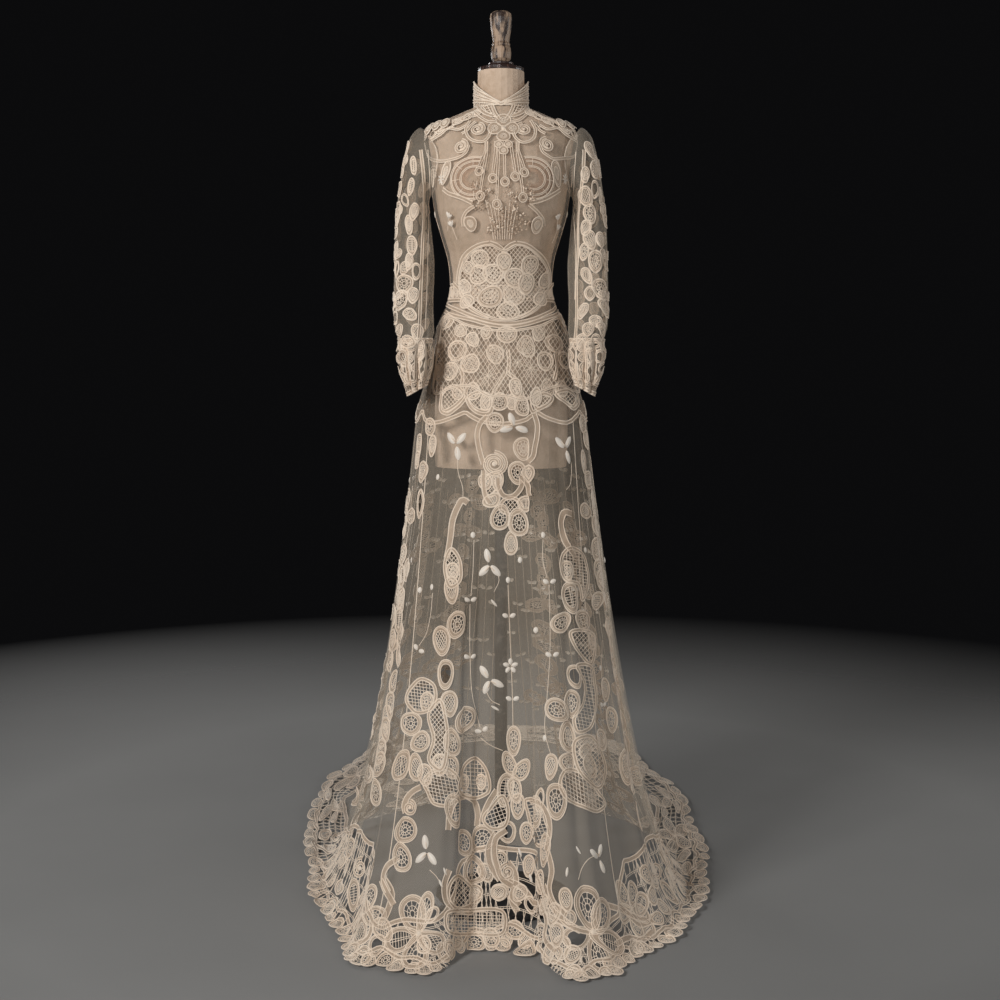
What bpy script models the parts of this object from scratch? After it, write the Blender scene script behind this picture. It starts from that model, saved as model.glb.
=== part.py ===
"""Wedding dress of net and tape lace, worn by a limbless dress form on its stand.

Metres, +Z up. The front faces -Y and the train lies towards +Y. The dress is drawn about the form's
axis, and at the end everything is shifted so that the origin is the middle of the footprint, on the
floor. Cloth is made as a grid on one of two surfaces, the dress body or the skirt, and given its
thickness along that surface's normal, so pieces that lie on each other keep their distance.
"""

import math

import bmesh
import bpy
import numpy as np

# Cloth thicknesses and the gap at every seam
NET = 0.0012
TAPE = 0.0022
SEAM = 0.0004

# Heights of the seams round the body
NECKLINE = 1.593
BODICE_HEM = 1.250
YOKE_TOP = 1.215
HIP_LINE = 1.000

# Grids
BODY_COLUMNS = 24
SKIRT_COLUMNS = 64
SKIRT_ROWS = 9
YOKE_ROWS = 3
LACE_BAR_SHARE = 0.36
LACE_ROW_ENDS = (0.0, 0.12, 0.40, 0.54, 0.84, 1.0)
LACE_GAP_ROWS = (1, 3)

# Skirt
BORDER_DEPTH = 0.165
BORDER_ARCH = 0.035
BORDER_GAP = 0.0006
SCALLOP_REACH = 0.016
SCALLOP_COLUMNS = 4
YOKE_PETAL = 0.022
FOLD_DEPTH = 0.011

# The form stands clear inside the dress and carries it on its shoulders
FORM_CLEARANCE = 0.0045
SHOULDER_CLEARANCE = 0.0006

# Sections of the dress body: height, half width, reach to the front, reach to the back
DRESS_SECTIONS = np.array((
    (0.960, 0.174, 0.136, 0.158),
    (1.000, 0.167, 0.130, 0.150),
    (1.030, 0.159, 0.126, 0.144),
    (1.060, 0.150, 0.121, 0.138),
    (1.100, 0.141, 0.114, 0.129),
    (1.140, 0.133, 0.105, 0.115),
    (1.178, 0.122, 0.095, 0.097),
    (1.209, 0.107, 0.086, 0.082),
    (1.235, 0.0995, 0.081, 0.077),
    (1.265, 0.0995, 0.082, 0.076),
    (1.300, 0.1035, 0.089, 0.079),
    (1.340, 0.115, 0.104, 0.084),
    (1.380, 0.1265, 0.120, 0.089),
    (1.420, 0.133, 0.126, 0.092),
    (1.460, 0.138, 0.118, 0.094),
    (1.500, 0.142, 0.098, 0.093),
    (1.530, 0.147, 0.080, 0.086),
    (1.545, 0.145, 0.070, 0.080),
    (1.563, 0.120, 0.059, 0.069),
    (1.579, 0.084, 0.052, 0.058),
    (1.593, 0.0505, 0.048, 0.049),
))

# The stand collar: its seat above the neckline, its top edge, and the V that dips at the front
COLLAR_SEAT = 0.0015
COLLAR_TOP = 1.643
COLLAR_DIP = 0.042
COLLAR_DIP_SPAN = math.radians(82)

# Sections of the collar's inner face
COLLAR_SECTIONS = np.array((
    (1.585, 0.0517, 0.0500, 0.0505),
    (1.660, 0.0515, 0.0510, 0.0510),
))

# Sections of the form below its waist, and of its neck
FORM_HIP_SECTIONS = np.array((
    (0.890, 0.131, 0.097, 0.124),
    (0.930, 0.133, 0.100, 0.130),
    (0.980, 0.133, 0.102, 0.131),
    (1.040, 0.130, 0.101, 0.124),
    (1.100, 0.124, 0.096, 0.112),
    (1.150, 0.114, 0.088, 0.095),
    (1.195, 0.101, 0.079, 0.078),
))
FORM_BODY_HEIGHTS = (1.235, 1.270, 1.310, 1.350, 1.390, 1.430, 1.470, 1.505, 1.530, 1.545)
FORM_SHOULDER_HEIGHTS = (1.563, 1.579, 1.593)
FORM_NECK_SECTIONS = np.array((
    (1.605, 0.0475, 0.0465, 0.047),
    (1.630, 0.0458, 0.0455, 0.046),
    (1.662, 0.0452, 0.0450, 0.045),
))

# The hem from the front centre round the +X side: hip angle in degrees, hem x, hem reach forward of
# the form's axis, and the share of the way out at which the falling cloth lands on the floor
HEM = np.array((
    (0, 0.000, 0.290, 1.00),
    (13, 0.058, 0.303, 1.00),
    (23, 0.095, 0.372, 1.00),
    (34, 0.142, 0.430, 1.00),
    (46, 0.206, 0.412, 1.00),
    (57, 0.256, 0.326, 1.00),
    (68, 0.312, 0.268, 0.98),
    (78, 0.366, 0.185, 0.95),
    (88, 0.410, 0.060, 0.92),
    (98, 0.445, -0.100, 0.87),
    (108, 0.463, -0.260, 0.82),
    (117, 0.468, -0.420, 0.76),
    (125, 0.459, -0.540, 0.70),
    (133, 0.466, -0.680, 0.64),
    (141, 0.450, -0.800, 0.60),
    (149, 0.408, -0.930, 0.56),
    (157, 0.385, -1.080, 0.52),
    (166, 0.315, -1.270, 0.48),
    (174, 0.175, -1.400, 0.46),
    (180, 0.000, -1.450, 0.45),
    (186, -0.175, -1.400, 0.46),
    (194, -0.320, -1.270, 0.48),
    (203, -0.398, -1.080, 0.52),
    (211, -0.424, -0.960, 0.56),
    (219, -0.464, -0.840, 0.60),
    (227, -0.462, -0.690, 0.69),
    (235, -0.468, -0.550, 0.76),
    (243, -0.456, -0.400, 0.82),
    (252, -0.432, -0.220, 0.88),
    (262, -0.408, -0.080, 0.93),
    (272, -0.392, 0.020, 0.95),
    (282, -0.352, 0.145, 0.97),
    (292, -0.305, 0.240, 0.98),
    (303, -0.265, 0.370, 1.00),
    (314, -0.210, 0.382, 1.00),
    (326, -0.145, 0.400, 1.00),
    (337, -0.095, 0.370, 1.00),
    (347, -0.062, 0.300, 1.00),
))

# The standing folds of the net: how many go round, their share of the depth, where they start
FOLD_WAVES = ((26, 0.55, 0.13), (17, 0.30, 0.41), (9, 0.25, 0.72))

# Where the gores are sewn to each other, as hip angles
FRONT_SEAM = 56
BACK_SEAM = 112

# Armhole edge of each bodice piece: height, and degrees round from the middle of the piece
ARMHOLE = np.array((
    (1.425, 90),
    (1.437, 77),
    (1.455, 67),
    (1.475, 62),
    (1.495, 60),
    (1.512, 61),
    (1.526, 65),
    (1.537, 74),
    (1.545, 90),
))
BODICE_HEIGHTS = (1.250, 1.290, 1.330, 1.370, 1.400)
BODICE_TOP_HEIGHTS = (1.563, 1.579, 1.593)

# Rings of a sleeve below its armhole: outer point x and z, inner point x and z, how far the middle
# lies forward, and half the depth from front to back
SLEEVE_RINGS = (
    (0.1610, 1.5540, 0.1410, 1.4210, -0.002, 0.051),
    (0.1750, 1.5400, 0.1430, 1.4160, -0.003, 0.051),
    (0.1845, 1.5130, 0.1435, 1.4080, -0.004, 0.050),
    (0.1915, 1.4820, 0.1430, 1.3970, -0.005, 0.049),
    (0.1970, 1.4490, 0.1415, 1.3820, -0.006, 0.048),
    (0.2020, 1.4150, 0.1395, 1.3600, -0.006, 0.048),
    (0.2055, 1.3800, 0.1365, 1.3300, -0.004, 0.048),
    (0.2075, 1.3400, 0.1335, 1.2950, 0.002, 0.048),
    (0.2080, 1.2950, 0.1335, 1.2600, 0.014, 0.046),
    (0.2080, 1.2500, 0.1345, 1.2250, 0.030, 0.044),
    (0.2070, 1.2050, 0.1335, 1.1900, 0.052, 0.042),
    (0.2045, 1.1700, 0.1315, 1.1600, 0.075, 0.039),
    (0.2000, 1.1420, 0.1305, 1.1420, 0.092, 0.036),
)
CUFF_RINGS = (
    (0.2000, 1.1420, 0.1305, 1.1420, 0.092, 0.036),
    (0.2010, 1.1150, 0.1295, 1.1180, 0.098, 0.036),
    (0.1960, 1.0850, 0.1315, 1.0920, 0.102, 0.032),
    (0.1870, 1.0600, 0.1370, 1.0720, 0.104, 0.027),
    (0.1790, 1.0340, 0.1430, 1.0560, 0.106, 0.021),
)
CUFF_RUFFLE = 0.0022

# Turned pieces of the form: radius and height, bottom to top
CAP_PROFILE = (
    (0.0450, 1.6624), (0.0455, 1.6650), (0.0452, 1.6690), (0.0270, 1.6720), (0.0250, 1.6760),
    (0.0250, 1.6790), (0.0160, 1.6815),
)
KNOB_PROFILE = (
    (0.0150, 1.6820), (0.0190, 1.6870), (0.0200, 1.6980), (0.0190, 1.7080), (0.0172, 1.7120),
    (0.0180, 1.7150), (0.0160, 1.7190), (0.0175, 1.7300), (0.0205, 1.7480), (0.0218, 1.7650),
    (0.0205, 1.7730), (0.0150, 1.7770),
)
BASE_PROFILE = ((0.145, 0.0), (0.145, 0.006), (0.135, 0.011), (0.036, 0.016), (0.024, 0.034))
POLE_RADIUS = 0.013
POLE_ENDS = (0.0343, 0.8897)
TURNED_SIDES = 18


def smooth(xs, rows, x):
    """Read a smooth curve through the rows, which lie at xs, at every value of x."""
    slopes = np.gradient(rows, xs, axis=0)
    i = np.clip(np.searchsorted(xs, x, side="right") - 1, 0, len(xs) - 2)
    width = (xs[i + 1] - xs[i])[..., None]
    f = (np.asarray(x) - xs[i])[..., None] / width
    start, end = rows[i], rows[i + 1]
    return (
        start * (1 + 2 * f) * (1 - f) ** 2
        + end * f * f * (3 - 2 * f)
        + width * (slopes[i] * f * (1 - f) ** 2 - slopes[i + 1] * f * f * (1 - f))
    )


def section_point(sections, angle, height):
    """Point at this angle, in radians from the front towards +X, of the section at this height."""
    half_width, front, back = np.moveaxis(smooth(sections[:, 0], sections[:, 1:], height), -1, 0)
    reach = np.where(np.cos(angle) > 0, front, back)
    return np.stack((half_width * np.sin(angle), -reach * np.cos(angle), height + 0 * angle), -1)


def body(angle, height):
    """The inner face of the dress from the hips to the neck."""
    return section_point(DRESS_SECTIONS, angle, height)


class Skirt:
    """The inner face of the skirt: columns run from the hip line out to the hem and its train.

    A point is given by u, the share of the way round the hem from the front centre, and by s, the
    metres down the column from the hip line, which are negative above it.
    """

    STEPS = 96

    def __init__(self):
        count = len(HEM)
        wrapped = np.vstack((HEM[-3:] - (360, 0, 0, 0), HEM, HEM[:3] + (360, 0, 0, 0)))
        places = np.arange(-3, count + 3).astype(float)
        self.rows = smooth(places, wrapped, np.linspace(0, count, count * 40 + 1))
        along = np.linalg.norm(np.diff(self.rows[:, 1:3], axis=0), axis=1)
        self.share = np.concatenate(((0,), np.cumsum(along))) / along.sum()
        self.outward = np.linspace(0, 1, self.STEPS)

    def hem(self, u):
        """Hip angle, hem x, hem forward reach and landing share at u."""
        turns = np.floor(u)
        values = [np.interp(u - turns, self.share, column) for column in self.rows.T]
        return [values[0] + 360 * turns] + values[1:]

    def fall(self, u):
        """Length down one column at each outward step, and the plan and height there."""
        angle, x, forward, landing = self.hem(u)
        hip = body(np.radians(angle), np.asarray(HIP_LINE))
        before, after = self.hem(u - 0.002), self.hem(u + 0.002)
        run = np.array((after[1] - before[1], after[2] - before[2]))
        away = np.array((-run[1], run[0])) / np.hypot(*run)
        share = self.outward
        drop = np.clip(share / landing, 0, 1)
        height = HIP_LINE * (1 - drop) ** 2
        wave = sum(part * math.cos(math.tau * (n * u + start)) for n, part, start in FOLD_WAVES)
        lifted = np.clip(height / 0.15, 0, 1) if landing < 0.97 else 1
        fold = FOLD_DEPTH * wave * np.clip(1.7 * drop, 0, 1) * lifted
        points = np.stack((
            hip[0] + (x - hip[0]) * share + away[0] * fold,
            hip[1] + (-forward - hip[1]) * share - away[1] * fold,
            height,
        ), -1)
        length = np.concatenate(((0,), np.cumsum(np.linalg.norm(np.diff(points, axis=0), axis=1))))
        return length, points

    def length(self, u):
        """Metres from the hip line to the plain hem at u."""
        return self.fall(u)[0][-1]

    def __call__(self, u, s):
        """Points at arrays u and s of one shape."""
        points = np.empty(np.shape(u) + (3,))
        for place in np.ndindex(np.shape(u)):
            if s[place] < 0:
                angle = math.radians(self.hem(u[place])[0])
                points[place] = body(np.asarray(angle), np.asarray(HIP_LINE - s[place]))
                continue
            length, column = self.fall(u[place])
            points[place] = [np.interp(s[place], length, column[:, axis]) for axis in range(3)]
        return points


skirt = Skirt()


def normals(surface, across, down, step_across, step_down):
    """Outward unit normals of a surface, from its slopes."""
    sideways = surface(across + step_across, down) - surface(across - step_across, down)
    downward = surface(across, down + step_down) - surface(across, down - step_down)
    found = np.cross(downward, sideways)
    return found / np.linalg.norm(found, axis=-1, keepdims=True)


def body_normals(angle, height):
    """Outward normals of the dress body."""
    return -normals(body, angle, height, 0.01, 0.002)


def skirt_normals(u, s):
    """Outward normals of the skirt."""
    return normals(skirt, u, s, 0.0015, 0.004)


def paint(name, colour, roughness, metallic=0.0):
    """A plain material of one colour."""
    material = bpy.data.materials.new(name)
    material.use_nodes = True
    shader = material.node_tree.nodes["Principled BSDF"]
    shader.inputs["Base Color"].default_value = (*colour, 1.0)
    shader.inputs["Roughness"].default_value = roughness
    shader.inputs["Metallic"].default_value = metallic
    material.diffuse_color = (*colour, 1.0)
    return material


def finished(name, mesh, material, sharp_angle=35):
    """An object from a closed bmesh, with its faces turned outwards and round parts smooth."""
    bmesh.ops.recalc_face_normals(mesh, faces=mesh.faces[:])
    data = bpy.data.meshes.new(name)
    mesh.to_mesh(data)
    mesh.free()
    data.shade_smooth()
    data.set_sharp_from_angle(angle=math.radians(sharp_angle))
    data.materials.append(material)
    made = bpy.data.objects.new(name, data)
    bpy.context.scene.collection.objects.link(made)
    return made


def nudged(points, closed):
    """The grid of points with its free edges drawn in by half a seam gap."""
    points = points.copy()
    edges = [(np.s_[0], np.s_[1]), (np.s_[-1], np.s_[-2])]
    if not closed:
        edges += [(np.s_[:, 0], np.s_[:, 1]), (np.s_[:, -1], np.s_[:, -2])]
    for edge, inside in edges:
        way = points[inside] - points[edge]
        points[edge] += way / np.linalg.norm(way, axis=-1, keepdims=True) * SEAM / 2
    return points


def cloth(name, inner, outer, material, gaps=(), closed=False):
    """A wall between two grids of points, without the cells in gaps; closed joins its sides."""
    inner, outer = nudged(inner, closed), nudged(outer, closed)
    rows, columns = inner.shape[:2]
    mesh = bmesh.new()
    key = mesh.verts.layers.int.new("key")
    grid = []
    for number, point in enumerate(inner.reshape(-1, 3)):
        vert = mesh.verts.new(point)
        vert[key] = number
        grid.append(vert)
    for i in range(rows - 1):
        for j in range(columns if closed else columns - 1):
            if (i, j) in gaps:
                continue
            k = (j + 1) % columns
            upper, lower = grid[i * columns:(i + 1) * columns], grid[(i + 1) * columns:(i + 2) * columns]
            mesh.faces.new((upper[j], upper[k], lower[k]))
            mesh.faces.new((upper[j], lower[k], lower[j]))
    bmesh.ops.delete(mesh, geom=[v for v in mesh.verts if not v.link_faces], context="VERTS")
    moved = bmesh.ops.extrude_face_region(mesh, geom=mesh.faces[:])
    outer_points = outer.reshape(-1, 3)
    for vert in moved["geom"]:
        if isinstance(vert, bmesh.types.BMVert):
            vert.co = outer_points[vert[key]]
    return finished(name, mesh, material)


def turned(name, profile, material, sides=TURNED_SIDES):
    """A solid turned about the form's axis from its profile of radius and height."""
    mesh = bmesh.new()
    rings = []
    for radius, height in profile:
        turns = [math.tau * side / sides for side in range(sides)]
        rings.append([
            mesh.verts.new((radius * math.sin(turn), -radius * math.cos(turn), height)) for turn in turns
        ])
    for below, above in zip(rings, rings[1:]):
        for side in range(sides):
            after = (side + 1) % sides
            mesh.faces.new((below[side], below[after], above[after], above[side]))
    mesh.faces.new(rings[0])
    mesh.faces.new(rings[-1])
    return finished(name, mesh, material)


def body_angles(half_span=180.0, middle=0.0, count=BODY_COLUMNS + 1):
    """Evenly spaced angles about the body, in radians."""
    return np.radians(np.linspace(middle - half_span, middle + half_span, count))


def form_torso(material):
    """The covered body and neck block of the form, closed at both ends."""
    angles = body_angles()[:-1]
    rings = [section_point(FORM_HIP_SECTIONS, angles, z + 0 * angles) for z in FORM_HIP_SECTIONS[:, 0]]
    rows = [(z, FORM_CLEARANCE) for z in FORM_BODY_HEIGHTS]
    rows += [(z, SHOULDER_CLEARANCE) for z in FORM_SHOULDER_HEIGHTS]
    for height, clearance in rows:
        level = height + 0 * angles
        rings.append(body(angles, level) - body_normals(angles, level) * clearance)
    rings += [section_point(FORM_NECK_SECTIONS, angles, z + 0 * angles) for z in FORM_NECK_SECTIONS[:, 0]]
    mesh = bmesh.new()
    loops = [[mesh.verts.new(point) for point in ring] for ring in reversed(rings)]
    for upper, lower in zip(loops, loops[1:]):
        for j in range(len(upper)):
            k = (j + 1) % len(upper)
            mesh.faces.new((upper[j], upper[k], lower[k]))
            mesh.faces.new((upper[j], lower[k], lower[j]))
    mesh.faces.new(loops[0])
    mesh.faces.new(loops[-1])
    return finished("form_torso", mesh, material)


def bodice_piece(name, middle, material):
    """Front or back of the bodice: side seam, armhole, shoulder seam and half the neckline."""
    heights = [*BODICE_HEIGHTS, *ARMHOLE[:, 0], *BODICE_TOP_HEIGHTS]
    half_spans = [90.0] * len(BODICE_HEIGHTS) + [*ARMHOLE[:, 1]] + [90.0] * len(BODICE_TOP_HEIGHTS)
    count = BODY_COLUMNS // 2 + 1
    rows = list(zip(heights, half_spans))[::-1]
    angles = np.array([body_angles(half_span, middle, count) for _, half_span in rows])
    levels = np.array([[height] * count for height, _ in rows])
    face, out = body(angles, levels), body_normals(angles, levels)
    cloth(name, face, face + out * NET, material)


def armhole_loop(side, lift):
    """The armhole's edge from the shoulder forward and down to the side seam, then up the back."""
    heights, spans = ARMHOLE[::-1, 0], np.radians(ARMHOLE[::-1, 1])
    front = list(zip(heights, spans))
    back = [(height, math.pi - span) for height, span in front[-2:0:-1]]
    levels, angles = np.array(front + back).T
    angles = side * angles
    return body(angles, levels) + body_normals(angles, levels) * lift


def tube_ring(row, side, count, grow):
    """One ring of a sleeve or cuff, grown outwards, from the outer point forward and round."""
    outer_x, outer_z, inner_x, inner_z, forward, half_depth = row
    middle = np.array(((outer_x + inner_x) / 2, -forward, (outer_z + inner_z) / 2))
    across = np.array(((outer_x - inner_x) / 2, 0, (outer_z - inner_z) / 2))
    across *= 1 + grow / np.linalg.norm(across)
    turns = np.arange(count) * math.tau / count
    depth = np.array((0, -(half_depth + grow), 0))
    points = middle + np.cos(turns)[:, None] * across + np.sin(turns)[:, None] * depth
    return points * (side, 1, 1)


def sleeve(name, side, material):
    """A sleeve: its head is sewn round the outside of the armhole."""
    lift = NET + SEAM
    count = 2 * (len(ARMHOLE) - 1)
    walls = []
    for grow in (0, NET):
        rings = [armhole_loop(side, lift + grow)]
        rings += [tube_ring(row, side, count, grow) for row in SLEEVE_RINGS]
        walls.append(np.array(rings))
    cloth(name, *walls, material, closed=True)


def cuff(name, side, material):
    """A lace cuff that narrows to a point over the hand, ruffled at its edge, with cut gaps."""
    count = 2 * (len(ARMHOLE) - 1)
    walls = []
    for grow in (0, TAPE):
        rings = [tube_ring(CUFF_RINGS[0], side, count, grow)]
        for depth, row in enumerate(CUFF_RINGS[1:], 1):
            ring = tube_ring(row, side, count, grow)
            middle = ring.mean(axis=0)
            ruffle = CUFF_RUFFLE * depth * np.where(np.arange(count) % 2, 1, -1)[:, None]
            away = (ring - middle) / np.linalg.norm(ring - middle, axis=1, keepdims=True)
            rings.append(ring + away * ruffle)
        walls.append(np.array(rings))
    gaps = [(2, j) for j in range(0, count, 2)]
    cloth(name, *walls, material, gaps, closed=True)


def collar(material):
    """The high collar, with its top edge dipping to a V at the front."""
    angles = body_angles()[:-1]
    dip = COLLAR_DIP * np.clip(1 - np.abs(angles) / COLLAR_DIP_SPAN, 0, 1)
    top = COLLAR_TOP - dip
    levels = np.array([top + (NECKLINE + COLLAR_SEAT - top) * share for share in (0, 0.33, 0.67, 1)])
    angles = np.broadcast_to(angles, levels.shape)
    inner = section_point(COLLAR_SECTIONS, angles, levels)
    outer = section_point(COLLAR_SECTIONS + (0, TAPE, TAPE, TAPE), angles, levels)
    cloth("stand_collar", inner, outer, material, closed=True)


def waist_band(material):
    """The lace band over the waist seam."""
    angles = body_angles(count=37)[:-1]
    levels = np.array([height + 0 * angles for height in (BODICE_HEM, 1.233, YOKE_TOP)])
    angles = np.broadcast_to(angles, levels.shape)
    face, out = body(angles, levels), body_normals(angles, levels)
    cloth("waist_band", face, face + out * TAPE, material, closed=True)


def front_angle(x, height):
    """Angle at which the body's front has this x at this height."""
    half_width = smooth(DRESS_SECTIONS[:, 0], DRESS_SECTIONS[:, 1:2], height)[..., 0]
    return np.arcsin(x / half_width)


def ornament(name, x, height, lift, thickness, material, closed):
    """A raised lace piece on the front of the body, from grids of x and height."""
    angles = front_angle(x, height)
    face, out = body(angles, height), body_normals(angles, height)
    inner = face + out * lift
    cloth(name, inner, inner + out * thickness[:, None, None], material, closed=closed)


def round_ornament(name, middle, outline, spokes, material, lift=NET + 0.0009):
    """A rosette round its open eye; outline gives its radii across and up for each turn."""
    turns = np.arange(spokes) * math.tau / spokes
    across, up = outline(turns)
    shares = np.array((0.16, 0.45, 0.75, 1.0))
    x = middle[0] + shares[:, None] * across
    height = middle[1] + shares[:, None] * up
    ornament(name, x, height, lift, np.array((0.0030, 0.0016, 0.0030, 0.0022)), material, True)


def quatrefoil(turns):
    """Four lobes with a pendant tip below."""
    tip = 0.026 * np.exp(-((turns - math.pi) / 0.42) ** 2)
    radius = 0.0265 * (1 + 0.10 * np.cos(4 * turns)) + tip
    return radius * np.sin(turns), radius * np.cos(turns)


def eight_petals(turns):
    """A round piece edged by eight petals."""
    radius = 0.0790 * (1 + 0.07 * np.abs(np.cos(4 * turns)))
    return radius * np.sin(turns), radius * np.cos(turns)


def wing(turns):
    """A plump oval."""
    return 0.036 * np.sin(turns), 0.031 * np.cos(turns)


def bust_tassel(material):
    """The fall of gathered cords between the wings, each cord a raised rib."""
    shares = np.linspace(0, 1, 6)[:, None]
    x = np.linspace(-1, 1, 13) * (0.024 + 0.006 * np.sin(shares * math.pi))
    height = 1.479 - 0.090 * shares + 0 * x
    angles = front_angle(x, height)
    face, out = body(angles, height), body_normals(angles, height)
    ribs = np.where(np.arange(13) % 2, 0.0030, 0.0014)[None, :, None]
    inner = face + out * (NET + 0.0009)
    cloth("bust_tassel", inner, inner + out * ribs, material)


def column_at(angle):
    """Number of the skirt column nearest this hip angle, counted from the front centre."""
    columns = np.arange(SKIRT_COLUMNS) / SKIRT_COLUMNS
    return int(np.argmin(np.abs(skirt.hem(columns)[0] - angle % 360)))


def skirt_grid():
    """The skirt's inner and outer points from the hip line's petals to the border's top."""
    u = np.arange(SKIRT_COLUMNS) / SKIRT_COLUMNS
    ends = np.array([border_top(value) for value in u])
    shares = np.linspace(0, 1, SKIRT_ROWS + 1)[:, None]
    starts = yoke_edge(u)
    s = starts + (ends - starts) * shares
    u = np.broadcast_to(u, s.shape)
    return skirt(u, s), skirt_normals(u, s)


def yoke_edge(u):
    """How far the petals of the yoke's edge reach below the hip line."""
    return YOKE_PETAL * np.abs(np.cos(math.pi * SKIRT_COLUMNS / 4 * u))


def border_top(u):
    """Metres down the column to the arched top of the hem border."""
    arch = BORDER_ARCH * abs(math.cos(math.pi * SKIRT_COLUMNS / 8 * u))
    return skirt.length(u) - BORDER_DEPTH - arch


def panel(points, start, stop):
    """The columns of a full ring of points from start to stop, going round."""
    columns = np.arange(start, stop + 1) % points.shape[1]
    return points[:, columns]


def gore_ends():
    """First and last column of each gore, by name."""
    front_left, front_right = column_at(-FRONT_SEAM), column_at(FRONT_SEAM)
    back_left, back_right = column_at(-BACK_SEAM), column_at(BACK_SEAM)
    middle = column_at(180)
    return {
        "front": (front_left - SKIRT_COLUMNS, front_right),
        "side_left": (front_right, back_right),
        "back_left": (back_right, middle),
        "back_right": (middle, back_left),
        "side_right": (back_left, front_left),
    }


def lace_insertions():
    """Cells of the skirt that carry applied lace: first and last column, first and last row."""
    left, right = column_at(34), column_at(-34) - SKIRT_COLUMNS
    return {
        "lace_column_left": (left - 1, left + 2, 2, 8),
        "lace_column_right": (right - 2, right + 1, 2, 8),
        "centre_drop": (-1, 2, 0, 3),
    }


def insertion_gaps(columns, rows):
    """Middle cells of a strip of lace that are cut through, every second one."""
    return {(row, columns[0] + 1) for row in range(rows[0] + 1, rows[1] - 1, 2)}


def skirt_pieces(net, tape):
    """Net gores and the lace laid on the front one."""
    face, out = skirt_grid()
    insertions = lace_insertions()
    cut = set()
    for first, last, top, bottom in insertions.values():
        cut |= insertion_gaps((first, last), (top, bottom))
    for name, (start, stop) in gore_ends().items():
        inner, away = panel(face, start, stop), panel(out, start, stop)
        gaps = {(row, column - start) for row, column in cut if start <= column < stop}
        cloth(f"skirt_{name}", inner, inner + away * NET, net, gaps)
    for name, (first, last, top, bottom) in insertions.items():
        inner = panel(face, first, last)[top:bottom + 1]
        away = panel(out, first, last)[top:bottom + 1]
        gaps = {(row - top, column - first) for row, column in insertion_gaps((first, last), (top, bottom))}
        below = inner + away * (NET + SEAM)
        cloth(name, below, below + away * TAPE, tape, gaps)


def border_grid():
    """The hem border's points: narrow bars and wide cells by turns, down to the scalloped edge."""
    ends = np.arange(SKIRT_COLUMNS + 1) / SKIRT_COLUMNS
    u = np.stack((ends[:-1], ends[:-1] + LACE_BAR_SHARE / SKIRT_COLUMNS), 1).reshape(-1)
    tops = np.array([border_top(value) for value in ends])
    top = np.stack((tops[:-1], tops[:-1] + (tops[1:] - tops[:-1]) * LACE_BAR_SHARE), 1).reshape(-1)
    scallops = SKIRT_COLUMNS / SCALLOP_COLUMNS * 2
    dip = SCALLOP_REACH * (1 - np.abs(np.sin(math.pi * scallops / 2 * u)))
    bottom = np.array([skirt.length(value) for value in u]) - dip
    top += BORDER_GAP
    s = top + (bottom - top) * np.array(LACE_ROW_ENDS)[:, None]
    u = np.broadcast_to(u, s.shape)
    face, out = skirt(u, s), skirt_normals(u, s)
    for grid in (face, out):
        after = np.roll(grid[0, 0::2], -1, axis=0)
        grid[0, 1::2] = grid[0, 0::2] + (after - grid[0, 0::2]) * LACE_BAR_SHARE
    return face, out


def hem_border(tape):
    """The openwork border in five lengths, one under each gore."""
    face, out = border_grid()
    for name, (start, stop) in gore_ends().items():
        inner, away = panel(face, 2 * start, 2 * stop), panel(out, 2 * start, 2 * stop)
        gaps = {
            (row, column - 2 * start)
            for row in LACE_GAP_ROWS
            for column in range(2 * start + 1, 2 * stop, 2)
        }
        label = name.replace("back", "train")
        cloth(f"hem_lace_{label}", inner, inner + away * TAPE, tape, gaps)


def hip_yoke(tape):
    """Front and back of the lace yoke between the waist band and the petal edge."""
    u = np.arange(SKIRT_COLUMNS) / SKIRT_COLUMNS
    top = HIP_LINE - YOKE_TOP
    shares = np.linspace(0, 1, YOKE_ROWS + 1)[:, None]
    s = top + (yoke_edge(u) - top) * shares
    u = np.broadcast_to(u, s.shape)
    face, out = skirt(u, s), skirt_normals(u, s)
    side_left, side_right = column_at(90), column_at(-90)
    spans = {"front": (side_right - SKIRT_COLUMNS, side_left), "back": (side_left, side_right)}
    for name, (start, stop) in spans.items():
        inner, away = panel(face, start, stop), panel(out, start, stop)
        cloth(f"hip_yoke_{name}", inner, inner + away * TAPE, tape)


def centre_on_floor():
    """Shift every piece so that the origin is the middle of the footprint, on the floor."""
    pieces = [piece for piece in bpy.data.objects if piece.type == "MESH"]
    corners = np.array([vert.co[:] for piece in pieces for vert in piece.data.vertices])
    low, high = corners.min(axis=0), corners.max(axis=0)
    middle = (low + high) / 2
    for piece in pieces:
        for vert in piece.data.vertices:
            vert.co.x -= middle[0]
            vert.co.y -= middle[1]
            vert.co.z -= low[2]


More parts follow.
